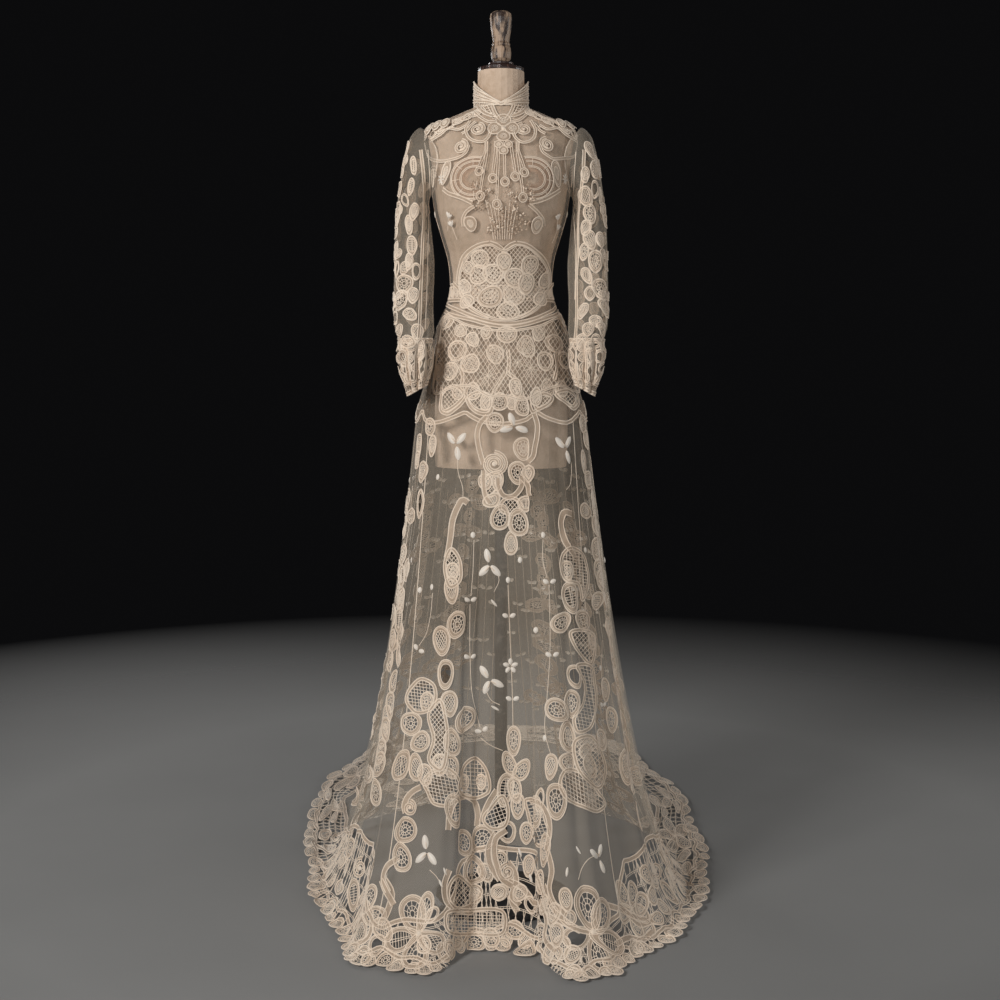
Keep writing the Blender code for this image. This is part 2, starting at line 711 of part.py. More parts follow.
def build():
    """Make every piece of the dress, the form and the stand."""
    for old in list(bpy.data.objects):
        bpy.data.objects.remove(old)
    net = paint("net", (0.62, 0.57, 0.47), 0.85)
    tape = paint("tape_lace", (0.72, 0.64, 0.50), 0.75)
    canvas = paint("canvas", (0.60, 0.51, 0.36), 0.8)
    dark_wood = paint("dark_wood", (0.06, 0.025, 0.018), 0.3)
    worn_wood = paint("worn_wood", (0.34, 0.22, 0.13), 0.5)
    iron = paint("iron", (0.10, 0.10, 0.10), 0.45, 0.6)

    form_torso(canvas)
    turned("neck_cap", CAP_PROFILE, dark_wood)
    turned("neck_knob", KNOB_PROFILE, worn_wood)
    pole = [(POLE_RADIUS, height) for height in POLE_ENDS]
    turned("stand_pole", pole, iron)
    turned("stand_base", BASE_PROFILE, iron)

    bodice_piece("bodice_front", 0, net)
    bodice_piece("bodice_back", 180, net)
    collar(tape)
    waist_band(tape)
    for label, side in (("left", 1), ("right", -1)):
        sleeve(f"sleeve_{label}", side, net)
        cuff(f"cuff_{label}", side, tape)
        round_ornament(f"bust_wing_{label}", (side * 0.071, 1.452), wing, 16, tape)
    round_ornament("neck_medallion", (0.0, 1.540), quatrefoil, 20, tape)
    round_ornament("waist_medallion", (0.004, 1.250), eight_petals, 32, tape, lift=TAPE + 0.0020)
    bust_tassel(tape)
    hip_yoke(tape)
    skirt_pieces(net, tape)
    hem_border(tape)
    centre_on_floor()


build()
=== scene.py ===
"""Looks of the net and tape-lace wedding dress on its form.

Every cloth surface of the dress is a Chart, a fine table of points read by p, the turns round it, and
q, the metres down it. Net and lace are strips of a made grid laid onto a chart, so lace stays on the net
that carries it. Places named by a pair of numbers of a few hundred are pixels of the 1000 x 1000
photograph, found on the chart through the photograph's camera; all other sizes are metres.
"""

import logging
import math
from dataclasses import dataclass
from enum import Enum

import bmesh
import bpy
import numpy as np
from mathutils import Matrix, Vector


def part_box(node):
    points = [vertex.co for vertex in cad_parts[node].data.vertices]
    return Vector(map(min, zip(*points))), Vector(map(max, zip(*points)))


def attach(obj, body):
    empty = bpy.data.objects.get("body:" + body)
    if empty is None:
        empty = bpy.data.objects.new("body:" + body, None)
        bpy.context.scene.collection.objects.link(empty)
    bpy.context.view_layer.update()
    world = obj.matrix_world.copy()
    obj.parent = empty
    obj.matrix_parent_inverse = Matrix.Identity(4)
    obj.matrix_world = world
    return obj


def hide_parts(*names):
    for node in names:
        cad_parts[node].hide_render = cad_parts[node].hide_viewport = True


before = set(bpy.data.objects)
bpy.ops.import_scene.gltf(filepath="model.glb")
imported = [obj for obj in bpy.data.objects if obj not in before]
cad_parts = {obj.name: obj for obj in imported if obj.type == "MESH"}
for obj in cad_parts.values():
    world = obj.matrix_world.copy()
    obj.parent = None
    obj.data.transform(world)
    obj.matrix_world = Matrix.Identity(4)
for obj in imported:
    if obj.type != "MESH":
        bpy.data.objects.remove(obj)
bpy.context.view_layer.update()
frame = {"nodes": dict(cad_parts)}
LOG = logging.getLogger("dress")

Points = np.ndarray
Pixel = tuple[float, float]


class Finish(Enum):
    """The finishes that a piece of lace is sewn from, in the order of its material slots."""

    TAPE = 0
    CORD = 1
    SATIN = 2
    NET = 3
    BLUSH = 4


class Filling(Enum):
    """What is worked inside a ring of tape."""

    WHEEL = "spokes round a hub"
    LADDER = "rungs on a double spine"
    TRELLIS = "crossing threads"
    BARS = "upright threads"
    OPEN = "nothing"


W, L, T, B, O = Filling.WHEEL, Filling.LADDER, Filling.TRELLIS, Filling.BARS, Filling.OPEN


# ---------------------------------------------------------------- surfaces


def smooth(xs: Points, rows: Points, x: Points) -> Points:
    """Read a smooth curve through rows.

    Args:
        xs: where the rows lie.
        rows: the values at xs.
        x: where to read the curve.

    Returns:
        The values at x.
    """
    slopes = np.gradient(rows, xs, axis=0)
    i = np.clip(np.searchsorted(xs, x, side="right") - 1, 0, len(xs) - 2)
    spare = (1,) * (rows.ndim - 1)
    width = (xs[i + 1] - xs[i]).reshape(np.shape(x) + spare)
    f = (np.asarray(x) - xs[i]).reshape(np.shape(x) + spare) / width
    start, end = rows[i], rows[i + 1]
    return (
        start * (1 + 2 * f) * (1 - f) ** 2
        + end * f * f * (3 - 2 * f)
        + width * (slopes[i] * f * (1 - f) ** 2 - slopes[i + 1] * f * f * (1 - f))
    )


def unit(vectors: Points) -> Points:
    """The vectors at length one."""
    return vectors / np.maximum(np.linalg.norm(vectors, axis=-1, keepdims=True), 1e-12)


@dataclass(frozen=True)
class Camera:
    """The photograph's camera, level with the waist and tipped a little down."""

    across: float
    behind: float
    height: float = 1.10
    pitch: float = math.radians(5.3)
    focal: float = 1500.0
    frame: float = 1000.0

    @property
    def place(self) -> Points:
        """Where the camera stands."""
        return np.array((self.across, self.behind, self.height))

    def project(self, points: Points) -> Points:
        """Pixels of the photograph at which points are seen, and their depth."""
        away = points - self.place
        depth = away[..., 1] * math.cos(self.pitch) - away[..., 2] * math.sin(self.pitch)
        rise = away[..., 1] * math.sin(self.pitch) + away[..., 2] * math.cos(self.pitch)
        half = self.frame / 2
        return np.stack((half + self.focal * away[..., 0] / depth, half - self.focal * rise / depth, depth), -1)


AXIS = np.array([(a + b) / 2 for a, b in zip(*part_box("stand_pole"))]) * (1, 1, 0)
CAMERA = Camera(AXIS[0] - 0.002, AXIS[1] - 3.0)


class Chart:
    """A cloth surface, read from a fine table of its points."""

    def __init__(self, points: Points, start: float, q_span: tuple[float, float]) -> None:
        """Keep the table and work out which way the cloth faces.

        Args:
            points: rows down the cloth and columns round it, the last column being the first again.
            start: p of the first column.
            q_span: q of the first and last row.
        """
        self.start, self.q_span = start, q_span
        ring = points[:, :-1]
        sideways = np.roll(ring, -1, 1) - np.roll(ring, 1, 1)
        facing = unit(np.cross(np.gradient(ring, axis=0), sideways))
        if np.sum(facing * (ring - ring.mean(axis=1, keepdims=True))) < 0:
            facing = -facing
        facing = np.concatenate((facing, facing[:, :1]), 1)
        self.table = np.concatenate((points, facing), -1)
        self._seen: tuple[Points, Points, Points] | None = None
        self.rounds: list[tuple["Spot", float, float]] = []
        self.regions: list[Points] = []

    def opened(self, p: Points, q: Points, share: float = 1.0) -> Points:
        """Whether openwork lies at each p and q, so that the net is cut away there.

        Args:
            p: turns.
            q: metres down.
            share: how much of each opening counts.

        Returns:
            A mask of the shape of p and q.
        """
        p, q = np.broadcast_arrays(np.asarray(p, float), np.asarray(q, float))
        mask = np.zeros(p.shape, bool)
        for spot, wide, tall in self.rounds:
            dp, dq = np.mod(p - spot.p + 0.5, 1.0) - 0.5, q - spot.q
            flat = np.stack((dp, dq), -1) @ spot.moves.T
            near = (np.abs(dp) < 0.05) & (np.abs(dq) < 0.12)
            mask |= near & ((flat[..., 0] / wide) ** 2 + (flat[..., 1] / tall) ** 2 < share ** 2)
        for corners in self.regions:
            dp = np.mod(p - corners[0, 0] + 0.5, 1.0) - 0.5 + corners[0, 0]
            inside = np.zeros(p.shape, bool)
            for (p0, q0), (p1, q1) in zip(corners, np.roll(corners, -1, 0)):
                if q0 != q1:
                    inside ^= ((q0 > q) != (q1 > q)) & (dp < (p1 - p0) * (q - q0) / (q1 - q0) + p0)
            mask |= inside
        return mask

    def at(self, p: Points, q: Points) -> tuple[Points, Points]:
        """Points of the cloth and the way it faces there, at arrays p and q of one shape."""
        rows, columns = self.table.shape[:2]
        x = np.mod(np.asarray(p, float) - self.start, 1.0) * (columns - 1)
        y = (np.asarray(q, float) - self.q_span[0]) / (self.q_span[1] - self.q_span[0]) * (rows - 1)
        y = np.clip(y, 0, rows - 1.001)
        i, j = y.astype(int), np.minimum(x.astype(int), columns - 2)
        fy, fx = (y - i)[..., None], (x - j)[..., None]
        upper = self.table[i, j] * (1 - fx) + self.table[i, j + 1] * fx
        lower = self.table[i + 1, j] * (1 - fx) + self.table[i + 1, j + 1] * fx
        both = upper * (1 - fy) + lower * fy
        return both[..., :3], unit(both[..., 3:])

    def _view(self) -> tuple[Points, Points, Points]:
        """Pixels of every second point of the table that faces the camera, with their p and q."""
        if self._seen is None:
            rows, columns = self.table.shape[:2]
            points, facing = self.table[::2, ::2, :3], self.table[::2, ::2, 3:]
            p = self.start + np.arange(0, columns, 2) / (columns - 1)
            q = self.q_span[0] + np.arange(0, rows, 2) / (rows - 1) * (self.q_span[1] - self.q_span[0])
            p, q = np.meshgrid(p, q)
            seen = np.sum(unit(CAMERA.place - points) * facing, -1) > 0.06
            self._seen = CAMERA.project(points[seen]), p[seen], q[seen]
        return self._seen

    def find(self, pixels: Points) -> tuple[Points, Points]:
        """The p and q at which the photograph shows this cloth at each pixel."""
        seen, p_all, q_all = self._view()
        pixels = np.asarray(pixels, float).reshape(-1, 2)
        found = []
        for x, y in pixels:
            gap = np.hypot(seen[:, 0] - x, seen[:, 1] - y)
            near = np.flatnonzero(gap < max(gap.min() + 1.5, 5.0))
            best = near[np.argmin(gap[near] / 4 + seen[near, 2] * 20)]
            found.append((p_all[best], q_all[best]))
        p, q = np.array(found).T
        for _ in range(3):
            here = CAMERA.project(self.at(p, q)[0])[:, :2]
            by_p = (CAMERA.project(self.at(p + 4e-4, q)[0])[:, :2] - here) / 4e-4
            by_q = (CAMERA.project(self.at(p, q + 2e-3)[0])[:, :2] - here) / 2e-3
            off = np.clip(pixels - here, -3, 3)
            area = by_p[:, 0] * by_q[:, 1] - by_p[:, 1] * by_q[:, 0]
            area = np.where(np.abs(area) < 1e4, np.inf, area)
            p = p + np.clip((off[:, 0] * by_q[:, 1] - off[:, 1] * by_q[:, 0]) / area, -0.004, 0.004)
            q = q + np.clip((by_p[:, 0] * off[:, 1] - by_p[:, 1] * off[:, 0]) / area, -0.01, 0.01)
        return p, q

    def spot(self, x: float, y: float, turn: float = 0.0) -> "Spot":
        """The spot that the photograph shows at a pixel."""
        p, q = self.find((x, y))
        return Spot(self, p[0], q[0], turn)

    def trace(self, pixels: list[Pixel], steps: int, closed: bool = False) -> tuple[Points, Points]:
        """Points and facing along a smooth line through pixels."""
        knots = np.array(pixels + pixels[:1] if closed else pixels, float)
        if closed:
            knots = np.vstack((knots[-3:-1], knots, knots[1:3]))
        along = np.concatenate(((0,), np.cumsum(np.linalg.norm(np.diff(knots, axis=0), axis=1))))
        ends = (along[2], along[-3]) if closed else (along[0], along[-1])
        line = smooth(along, knots, np.linspace(*ends, steps + 1))
        p, q = self.find(line)
        points, facing = self.at(p, q)
        if closed:
            points[-1], facing[-1] = points[0], facing[0]
        return points, facing


class Spot:
    """A place on a chart with its own flat directions, right and up, as the photograph shows them."""

    def __init__(self, chart: Chart, p: float, q: float, turn: float = 0.0, stretch: float = 1.0,
                 slope: float = 0.0, squash: bool = False) -> None:
        """Work out how far p and q move for a metre right or up.

        Args:
            chart: the cloth.
            p: turns round it.
            q: metres down it.
            turn: degrees that its directions are turned anticlockwise.
            stretch: how much longer motifs are along the cloth than down it.
            slope: metres of q for a turn of p along the edge that the motifs follow.
            squash: motifs are made lower where q runs aslant to that edge.
        """
        self.chart, self.p, self.q, self.turn = chart, p, q, turn
        self.edge = stretch, slope, squash
        step_p, step_q = 4e-3, 6e-3
        offsets = np.array(((step_p, 0), (-step_p, 0), (0, step_q), (0, -step_q), (0, 0)))
        points, facing = chart.at(p + offsets[:, 0], q + offsets[:, 1])
        by_p = (points[0] - points[1]) / (2 * step_p)
        by_q = (points[2] - points[3]) / (2 * step_q)
        out = unit(facing.sum(axis=0))
        up = np.array((0.0, 0, 1))
        if abs(out[2]) > 0.75:
            up = np.cross(out, by_p + slope * by_q)
            up *= -np.sign(up @ by_q)
        else:
            stretch = min(stretch, 1.25)
        up = unit(up - out * (up @ out))
        lower = max(0.5, abs(up @ unit(by_q))) if squash else 1.0
        right = np.cross(up, out)
        cos, sin = math.cos(math.radians(turn)), math.sin(math.radians(turn))
        straight = np.array(((by_p @ right / stretch, by_q @ right / stretch), (by_p @ up / lower, by_q @ up / lower)))
        self.moves = np.array(((cos, sin), (-sin, cos))) @ straight
        self.solve = np.linalg.pinv(self.moves, rcond=0.02)
        self.pixel = CAMERA.project(points[4])[2] / CAMERA.focal

    def onto(self, flat: Points) -> tuple[Points, Points]:
        """Points and facing of the cloth at flat offsets right and up."""
        moved = np.asarray(flat) @ self.solve.T
        return self.chart.at(self.p + moved[..., 0], self.q + moved[..., 1])

    def moved(self, right: float, up: float, turn: float = 0.0) -> "Spot":
        """A spot beside this one, turned from it."""
        step = self.solve @ (right, up)
        return Spot(self.chart, self.p + step[0], self.q + step[1], self.turn + turn, *self.edge)


DRESS_SECTIONS = np.array((
    (0.960, 0.174, 0.136, 0.158), (1.000, 0.167, 0.130, 0.150), (1.030, 0.159, 0.126, 0.144),
    (1.060, 0.150, 0.121, 0.138), (1.100, 0.141, 0.114, 0.129), (1.140, 0.133, 0.105, 0.115),
    (1.178, 0.122, 0.095, 0.097), (1.209, 0.107, 0.086, 0.082), (1.235, 0.0995, 0.081, 0.077),
    (1.265, 0.0995, 0.082, 0.076), (1.300, 0.1035, 0.089, 0.079), (1.340, 0.115, 0.104, 0.084),
    (1.380, 0.1265, 0.120, 0.089), (1.420, 0.133, 0.126, 0.092), (1.460, 0.138, 0.118, 0.094),
    (1.500, 0.142, 0.098, 0.093), (1.530, 0.147, 0.080, 0.086), (1.545, 0.145, 0.070, 0.080),
    (1.563, 0.120, 0.059, 0.069), (1.579, 0.084, 0.052, 0.058), (1.593, 0.0505, 0.048, 0.049),
))
COLLAR_SECTIONS = np.array(((1.585, 0.0524, 0.0507, 0.0512), (1.660, 0.0522, 0.0517, 0.0517)))
ARMHOLE = np.array((
    (1.425, 90), (1.437, 77), (1.455, 67), (1.475, 62), (1.495, 60), (1.512, 61), (1.526, 65),
    (1.537, 74), (1.545, 90),
))
SLEEVE_RINGS = np.array((
    (0.1610, 1.5540, 0.1410, 1.4210, -0.002, 0.051), (0.1750, 1.5400, 0.1430, 1.4160, -0.003, 0.051),
    (0.1845, 1.5130, 0.1435, 1.4080, -0.004, 0.050), (0.1915, 1.4820, 0.1430, 1.3970, -0.005, 0.049),
    (0.1970, 1.4490, 0.1415, 1.3820, -0.006, 0.048), (0.2020, 1.4150, 0.1395, 1.3600, -0.006, 0.048),
    (0.2055, 1.3800, 0.1365, 1.3300, -0.004, 0.048), (0.2075, 1.3400, 0.1335, 1.2950, 0.002, 0.048),
    (0.2080, 1.2950, 0.1335, 1.2600, 0.014, 0.046), (0.2080, 1.2500, 0.1345, 1.2250, 0.030, 0.044),
    (0.2070, 1.2050, 0.1335, 1.1900, 0.052, 0.042), (0.2045, 1.1700, 0.1315, 1.1600, 0.075, 0.039),
    (0.2000, 1.1420, 0.1305, 1.1420, 0.092, 0.036), (0.2010, 1.1150, 0.1295, 1.1180, 0.098, 0.036),
    (0.1960, 1.0850, 0.1315, 1.0920, 0.102, 0.032), (0.1870, 1.0600, 0.1370, 1.0720, 0.104, 0.027),
    (0.1790, 1.0340, 0.1430, 1.0560, 0.106, 0.021),
))
CUFF_RING = 12

# Hem rows: hip angle in degrees, hem x, hem reach forward, and the share of the way out at which the
# falling cloth lands on the floor
HEM = np.array((
    (0, 0.000, 0.290, 1.00), (13, 0.058, 0.303, 1.00), (23, 0.095, 0.372, 1.00),
    (34, 0.142, 0.430, 1.00), (46, 0.206, 0.412, 1.00), (57, 0.256, 0.326, 1.00),
    (68, 0.312, 0.268, 0.98), (78, 0.366, 0.185, 0.95), (88, 0.410, 0.060, 0.92),
    (98, 0.445, -0.100, 0.87), (108, 0.463, -0.260, 0.82), (117, 0.468, -0.420, 0.76),
    (125, 0.459, -0.540, 0.70), (133, 0.466, -0.680, 0.64), (141, 0.450, -0.800, 0.60),
    (149, 0.408, -0.930, 0.56), (157, 0.385, -1.080, 0.52), (166, 0.315, -1.270, 0.48),
    (174, 0.175, -1.400, 0.46), (180, 0.000, -1.450, 0.45), (186, -0.175, -1.400, 0.46),
    (194, -0.320, -1.270, 0.48), (203, -0.398, -1.080, 0.52), (211, -0.424, -0.960, 0.56),
    (219, -0.464, -0.840, 0.60), (227, -0.462, -0.690, 0.69), (235, -0.468, -0.550, 0.76),
    (243, -0.456, -0.400, 0.82), (252, -0.432, -0.220, 0.88), (262, -0.408, -0.080, 0.93),
    (272, -0.392, 0.020, 0.95), (282, -0.352, 0.145, 0.97), (292, -0.305, 0.240, 0.98),
    (303, -0.265, 0.370, 1.00), (314, -0.210, 0.382, 1.00), (326, -0.145, 0.400, 1.00),
    (337, -0.095, 0.370, 1.00), (347, -0.062, 0.300, 1.00),
))
HIP_LINE = 1.0
YOKE_TOP = 1.215
BODICE_HEM = 1.250
NECKLINE = 1.593
BORDER_DEPTH = 0.165
BORDER_ARCH = 0.035
SCALLOP_REACH = 0.016
YOKE_PETAL = 0.022


def section_point(sections: Points, turns: Points, height: Points) -> Points:
    """Points of a stack of sections, at turns round from the front towards +X, about the form's axis."""
    half_width, front, back = np.moveaxis(smooth(sections[:, 0], sections[:, 1:], height), -1, 0)
    angle = turns * math.tau
    reach = np.where(np.cos(angle) > 0, front, back)
    return np.stack((half_width * np.sin(angle), -reach * np.cos(angle), height + 0 * angle), -1)


def body_chart() -> Chart:
    """The dress from the hips to the neck; q is minus the height."""
    turns, heights = np.meshgrid(np.linspace(-0.5, 0.5, 481), np.linspace(1.593, 0.97, 300))
    points = section_point(DRESS_SECTIONS, turns, heights) + AXIS
    return Chart(points, -0.5, (-1.593, -0.97))


def collar_chart() -> Chart:
    """The stand collar; q is minus the height."""
    turns, heights = np.meshgrid(np.linspace(-0.5, 0.5, 241), np.linspace(1.650, 1.588, 40))
    points = section_point(COLLAR_SECTIONS, turns, heights) + AXIS
    return Chart(points, -0.5, (-1.650, -1.588))


class SkirtShape:
    """The skirt from the waist to the hem and the train, with its standing folds and fine gathers."""

    STEPS = 110
    COLUMNS = 1440
    LOWEST = 0.0036
    FOLD_DEPTH = 0.011
    FOLD_WAVES = ((26, 0.55, 0.13), (17, 0.30, 0.41), (9, 0.25, 0.72))
    GATHER_DEPTH = 0.0052
    GATHER_WAVES = ((53, 0.46, 0.31), (79, 0.34, 0.77), (113, 0.15, 0.05))

    def __init__(self) -> None:
        """Read the hem and lay out every column of cloth."""
        count = len(HEM)
        wrapped = np.vstack((HEM[-3:] - (360, 0, 0, 0), HEM, HEM[:3] + (360, 0, 0, 0)))
        self.rows = smooth(np.arange(-3, count + 3).astype(float), wrapped, np.linspace(0, count, count * 40 + 1))
        along = np.linalg.norm(np.diff(self.rows[:, 1:3], axis=0), axis=1)
        self.share = np.concatenate(((0,), np.cumsum(along))) / along.sum()
        self.round_hem = float(along.sum())
        self.u = np.arange(self.COLUMNS + 1) / self.COLUMNS
        self.lengths = np.empty(self.COLUMNS + 1)
        self.chart = self._chart()

    def hem(self, u: Points) -> list[Points]:
        """Hip angle, hem x, hem forward reach and landing share at u."""
        turns = np.floor(u)
        values = [np.interp(u - turns, self.share, column) for column in self.rows.T]
        return [values[0] + 360 * turns] + values[1:]

    def length(self, u: Points) -> Points:
        """Metres from the hip line to the plain hem at u."""
        return np.interp(np.mod(u, 1.0), self.u, self.lengths)

    def turn(self, angle: float) -> float:
        """The u at which the skirt leaves the hips at this angle in degrees."""
        return float(np.interp(angle % 360, self.rows[:, 0], self.share))

    def _chart(self) -> Chart:
        """Lay out the columns and read them at even steps down."""
        u = self.u
        angle, x, forward, landing = self.hem(u)
        hip = section_point(DRESS_SECTIONS, angle / 360, np.full_like(u, HIP_LINE))
        before, after = self.hem(u - 0.002), self.hem(u + 0.002)
        run_x, run_y = after[1] - before[1], after[2] - before[2]
        size = np.hypot(run_x, run_y)
        out_x, out_y = -run_y / size, -run_x / size
        share = np.linspace(0, 1.06, self.STEPS)[:, None]
        drop = np.clip(share / landing, 0, 1)
        height = HIP_LINE * (1 - drop) ** 2
        lifted = np.where(landing < 0.97, np.clip(height / 0.15, 0, 1), 1.0)
        wave = sum(part * np.cos(math.tau * (n * u + at)) for n, part, at in self.FOLD_WAVES)
        gather = sum(part * np.cos(math.tau * (n * u + at + 0.6 * np.sin(math.tau * 5 * u)))
                     for n, part, at in self.GATHER_WAVES)
        fold = self.FOLD_DEPTH * wave * np.clip(1.7 * drop, 0, 1) * lifted
        fold = fold + self.GATHER_DEPTH * gather * np.clip(0.25 + 1.5 * drop, 0, 1) * (0.2 + 0.8 * lifted)
        rumple = 0.0035 + 0.0035 * np.cos(math.tau * (11 * u + 3.1 * share)) * np.cos(math.tau * (7 * share - 4 * u))
        ground = self.LOWEST + np.where(landing < 0.97, (1 - lifted) * rumple, 0)
        px = hip[:, 0] + (x - hip[:, 0]) * share + out_x * fold
        py = hip[:, 1] + (-forward - hip[:, 1]) * share + out_y * fold
        columns = np.stack((px, py, np.maximum(height, ground)), -1)
        down = np.linspace(-0.225, 2.0, 372)
        table = np.empty((len(down), len(u), 3))
        above = down < 0
        for j in range(len(u)):
            steps = np.linalg.norm(np.diff(columns[:, j], axis=0), axis=1)
            gone = np.concatenate(((0,), np.cumsum(steps)))
            self.lengths[j] = np.interp(1.0, share[:, 0], gone)
            for axis in range(3):
                table[:, j, axis] = np.interp(down, gone, columns[:, j, axis])
            end = unit(columns[-1, j] - columns[-2, j])
            table[down > gone[-1], j] = columns[-1, j] + end * (down[down > gone[-1]] - gone[-1])[:, None]
        levels, turns = np.meshgrid(HIP_LINE - down[above], angle / 360, indexing="ij")
        upper = section_point(DRESS_SECTIONS, turns, levels)
        table[above] = upper + (gather * 0.25 * self.GATHER_DEPTH)[None, :, None] * np.stack((out_x, out_y, 0 * u), -1)
        return Chart(table + AXIS, 0.0, (down[0], down[-1]))

    def yoke_edge(self, u: Points) -> Points:
        """How far the petals of the yoke reach below the hip line."""
        return YOKE_PETAL * np.abs(np.cos(math.pi * 16 * u))

    def border_top(self, u: Points) -> Points:
        """Metres down to the arched top of the hem border, lower where the front flowers stand."""
        away = np.abs(np.mod(np.asarray(u) + 0.5, 1.0) - 0.5)
        shallow = np.clip((away - 0.022) / 0.012, 0, 1) * np.clip((0.090 - away) / 0.015, 0, 1)
        return self.length(u) - BORDER_DEPTH - BORDER_ARCH * np.abs(np.cos(math.pi * 8 * u)) + 0.062 * shallow

    def hem_edge(self, u: Points) -> Points:
        """Metres down to the scalloped edge."""
        return self.length(u) - SCALLOP_REACH * (1 - np.abs(np.sin(math.pi * 16 * u)))


def sleeve_chart(side: int) -> Chart:
    """A sleeve and its cuff; p goes from the outer line forwards, q is metres down the arm."""
    heights, spans = ARMHOLE[::-1, 0], ARMHOLE[::-1, 1] / 360
    levels = np.concatenate((heights, heights[-2:0:-1]))
    turns = np.concatenate((spans, 0.5 - spans[-2:0:-1]))
    loop = section_point(DRESS_SECTIONS, turns, levels)
    loop = loop + unit(loop - (0, 0, 1.49)) * 0.0012
    count = len(loop)
    closed = np.vstack((loop[-3:], loop, loop[:3]))
    around = np.linspace(0, 1, 145)
    rings = [smooth(np.arange(-3, count + 3).astype(float), closed, around * count)]
    angle = around * math.tau
    for outer_x, outer_z, inner_x, inner_z, forward, half_depth in SLEEVE_RINGS:
        middle = np.array(((outer_x + inner_x) / 2, -forward, (outer_z + inner_z) / 2))
        across = np.array(((outer_x - inner_x) / 2, 0, (outer_z - inner_z) / 2))
        rings.append(middle + np.cos(angle)[:, None] * across - np.sin(angle)[:, None] * np.array((0, half_depth, 0)))
    rings = np.array(rings)
    centres = rings[:, :-1].mean(axis=1)
    down = np.concatenate(((0,), np.cumsum(np.linalg.norm(np.diff(centres, axis=0), axis=1))))
    read = np.linspace(0, down[-1], 200)
    table = smooth(down, rings, read)
    middles = table[:, :-1].mean(axis=1, keepdims=True)
    cuff = np.clip((read - down[CUFF_RING + 1]) / 0.02, 0, 1)[:, None]
    soft = np.clip(read / 0.04, 0, 1)[:, None]
    gather = (0.6 * np.cos(11 * angle + 3 * np.sin(2 * angle)) + 0.4 * np.cos(17 * angle + 1.3))
    puff = 0.0020 * soft * gather * (1 - cuff) + 0.0042 * cuff * np.cos(9 * angle + 14 * read[:, None])
    slim = 1 - 0.16 * np.clip((read - down[CUFF_RING] - 0.01) / 0.03, 0, 1)[:, None, None]
    table = (middles + (table - middles) * slim + unit(table - middles) * puff[..., None]) * (side, 1, 1)
    table[:, -1] = table[:, 0]
    chart = Chart(table + AXIS, 0.0, (0.0, float(down[-1])))
    chart.cuff_from = float(down[CUFF_RING + 1])
    chart.end = float(down[-1])
    return chart


# ---------------------------------------------------------------- lace


RINGS = {
    Filling.WHEEL: ((0.30, 9), (0.62, 14)),
}


def filling_threads(filling: Filling) -> Points:
    """Threads of a filling as pairs of ends inside a circle of radius one."""
    lines: list[tuple[Pixel, Pixel]] = []
    if filling is Filling.WHEEL:
        for k in range(10):
            a = math.tau * (k + 0.3) / 10
            lines.append(((0.22 * math.sin(a), 0.22 * math.cos(a)), (math.sin(a), math.cos(a))))
        for radius, count in RINGS[filling]:
            turn = [math.tau * k / count for k in range(count + 1)]
            ring = [(radius * math.sin(a), radius * math.cos(a)) for a in turn]
            lines += list(zip(ring, ring[1:]))
    elif filling is Filling.LADDER:
        for k in range(7):
            y = -0.78 + 0.26 * k
            x = math.sqrt(1 - y * y)
            lines.append(((-x, y), (x, y + 0.05)))
        lines += [((side * 0.13, -0.97), (side * 0.13, 0.97)) for side in (-1, 1)]
    elif filling is Filling.TRELLIS:
        for k in (-0.66, -0.33, 0.0, 0.33, 0.66):
            reach = math.sqrt(1 - k * k)
            for way in (1, -1):
                c = math.sqrt(0.5)
                start = ((k + reach) * c * way, (reach - k) * c)
                stop = ((k - reach) * c * way, (-reach - k) * c)
                lines.append((start, stop))
    elif filling is Filling.BARS:
        for k in (-0.7, -0.42, -0.14, 0.14, 0.42, 0.7):
            y = math.sqrt(1 - k * k)
            lines.append(((k, -y), (k, y)))
    return np.array(lines, float).reshape(-1, 2, 2)


FILLINGS = {filling: filling_threads(filling) for filling in Filling}


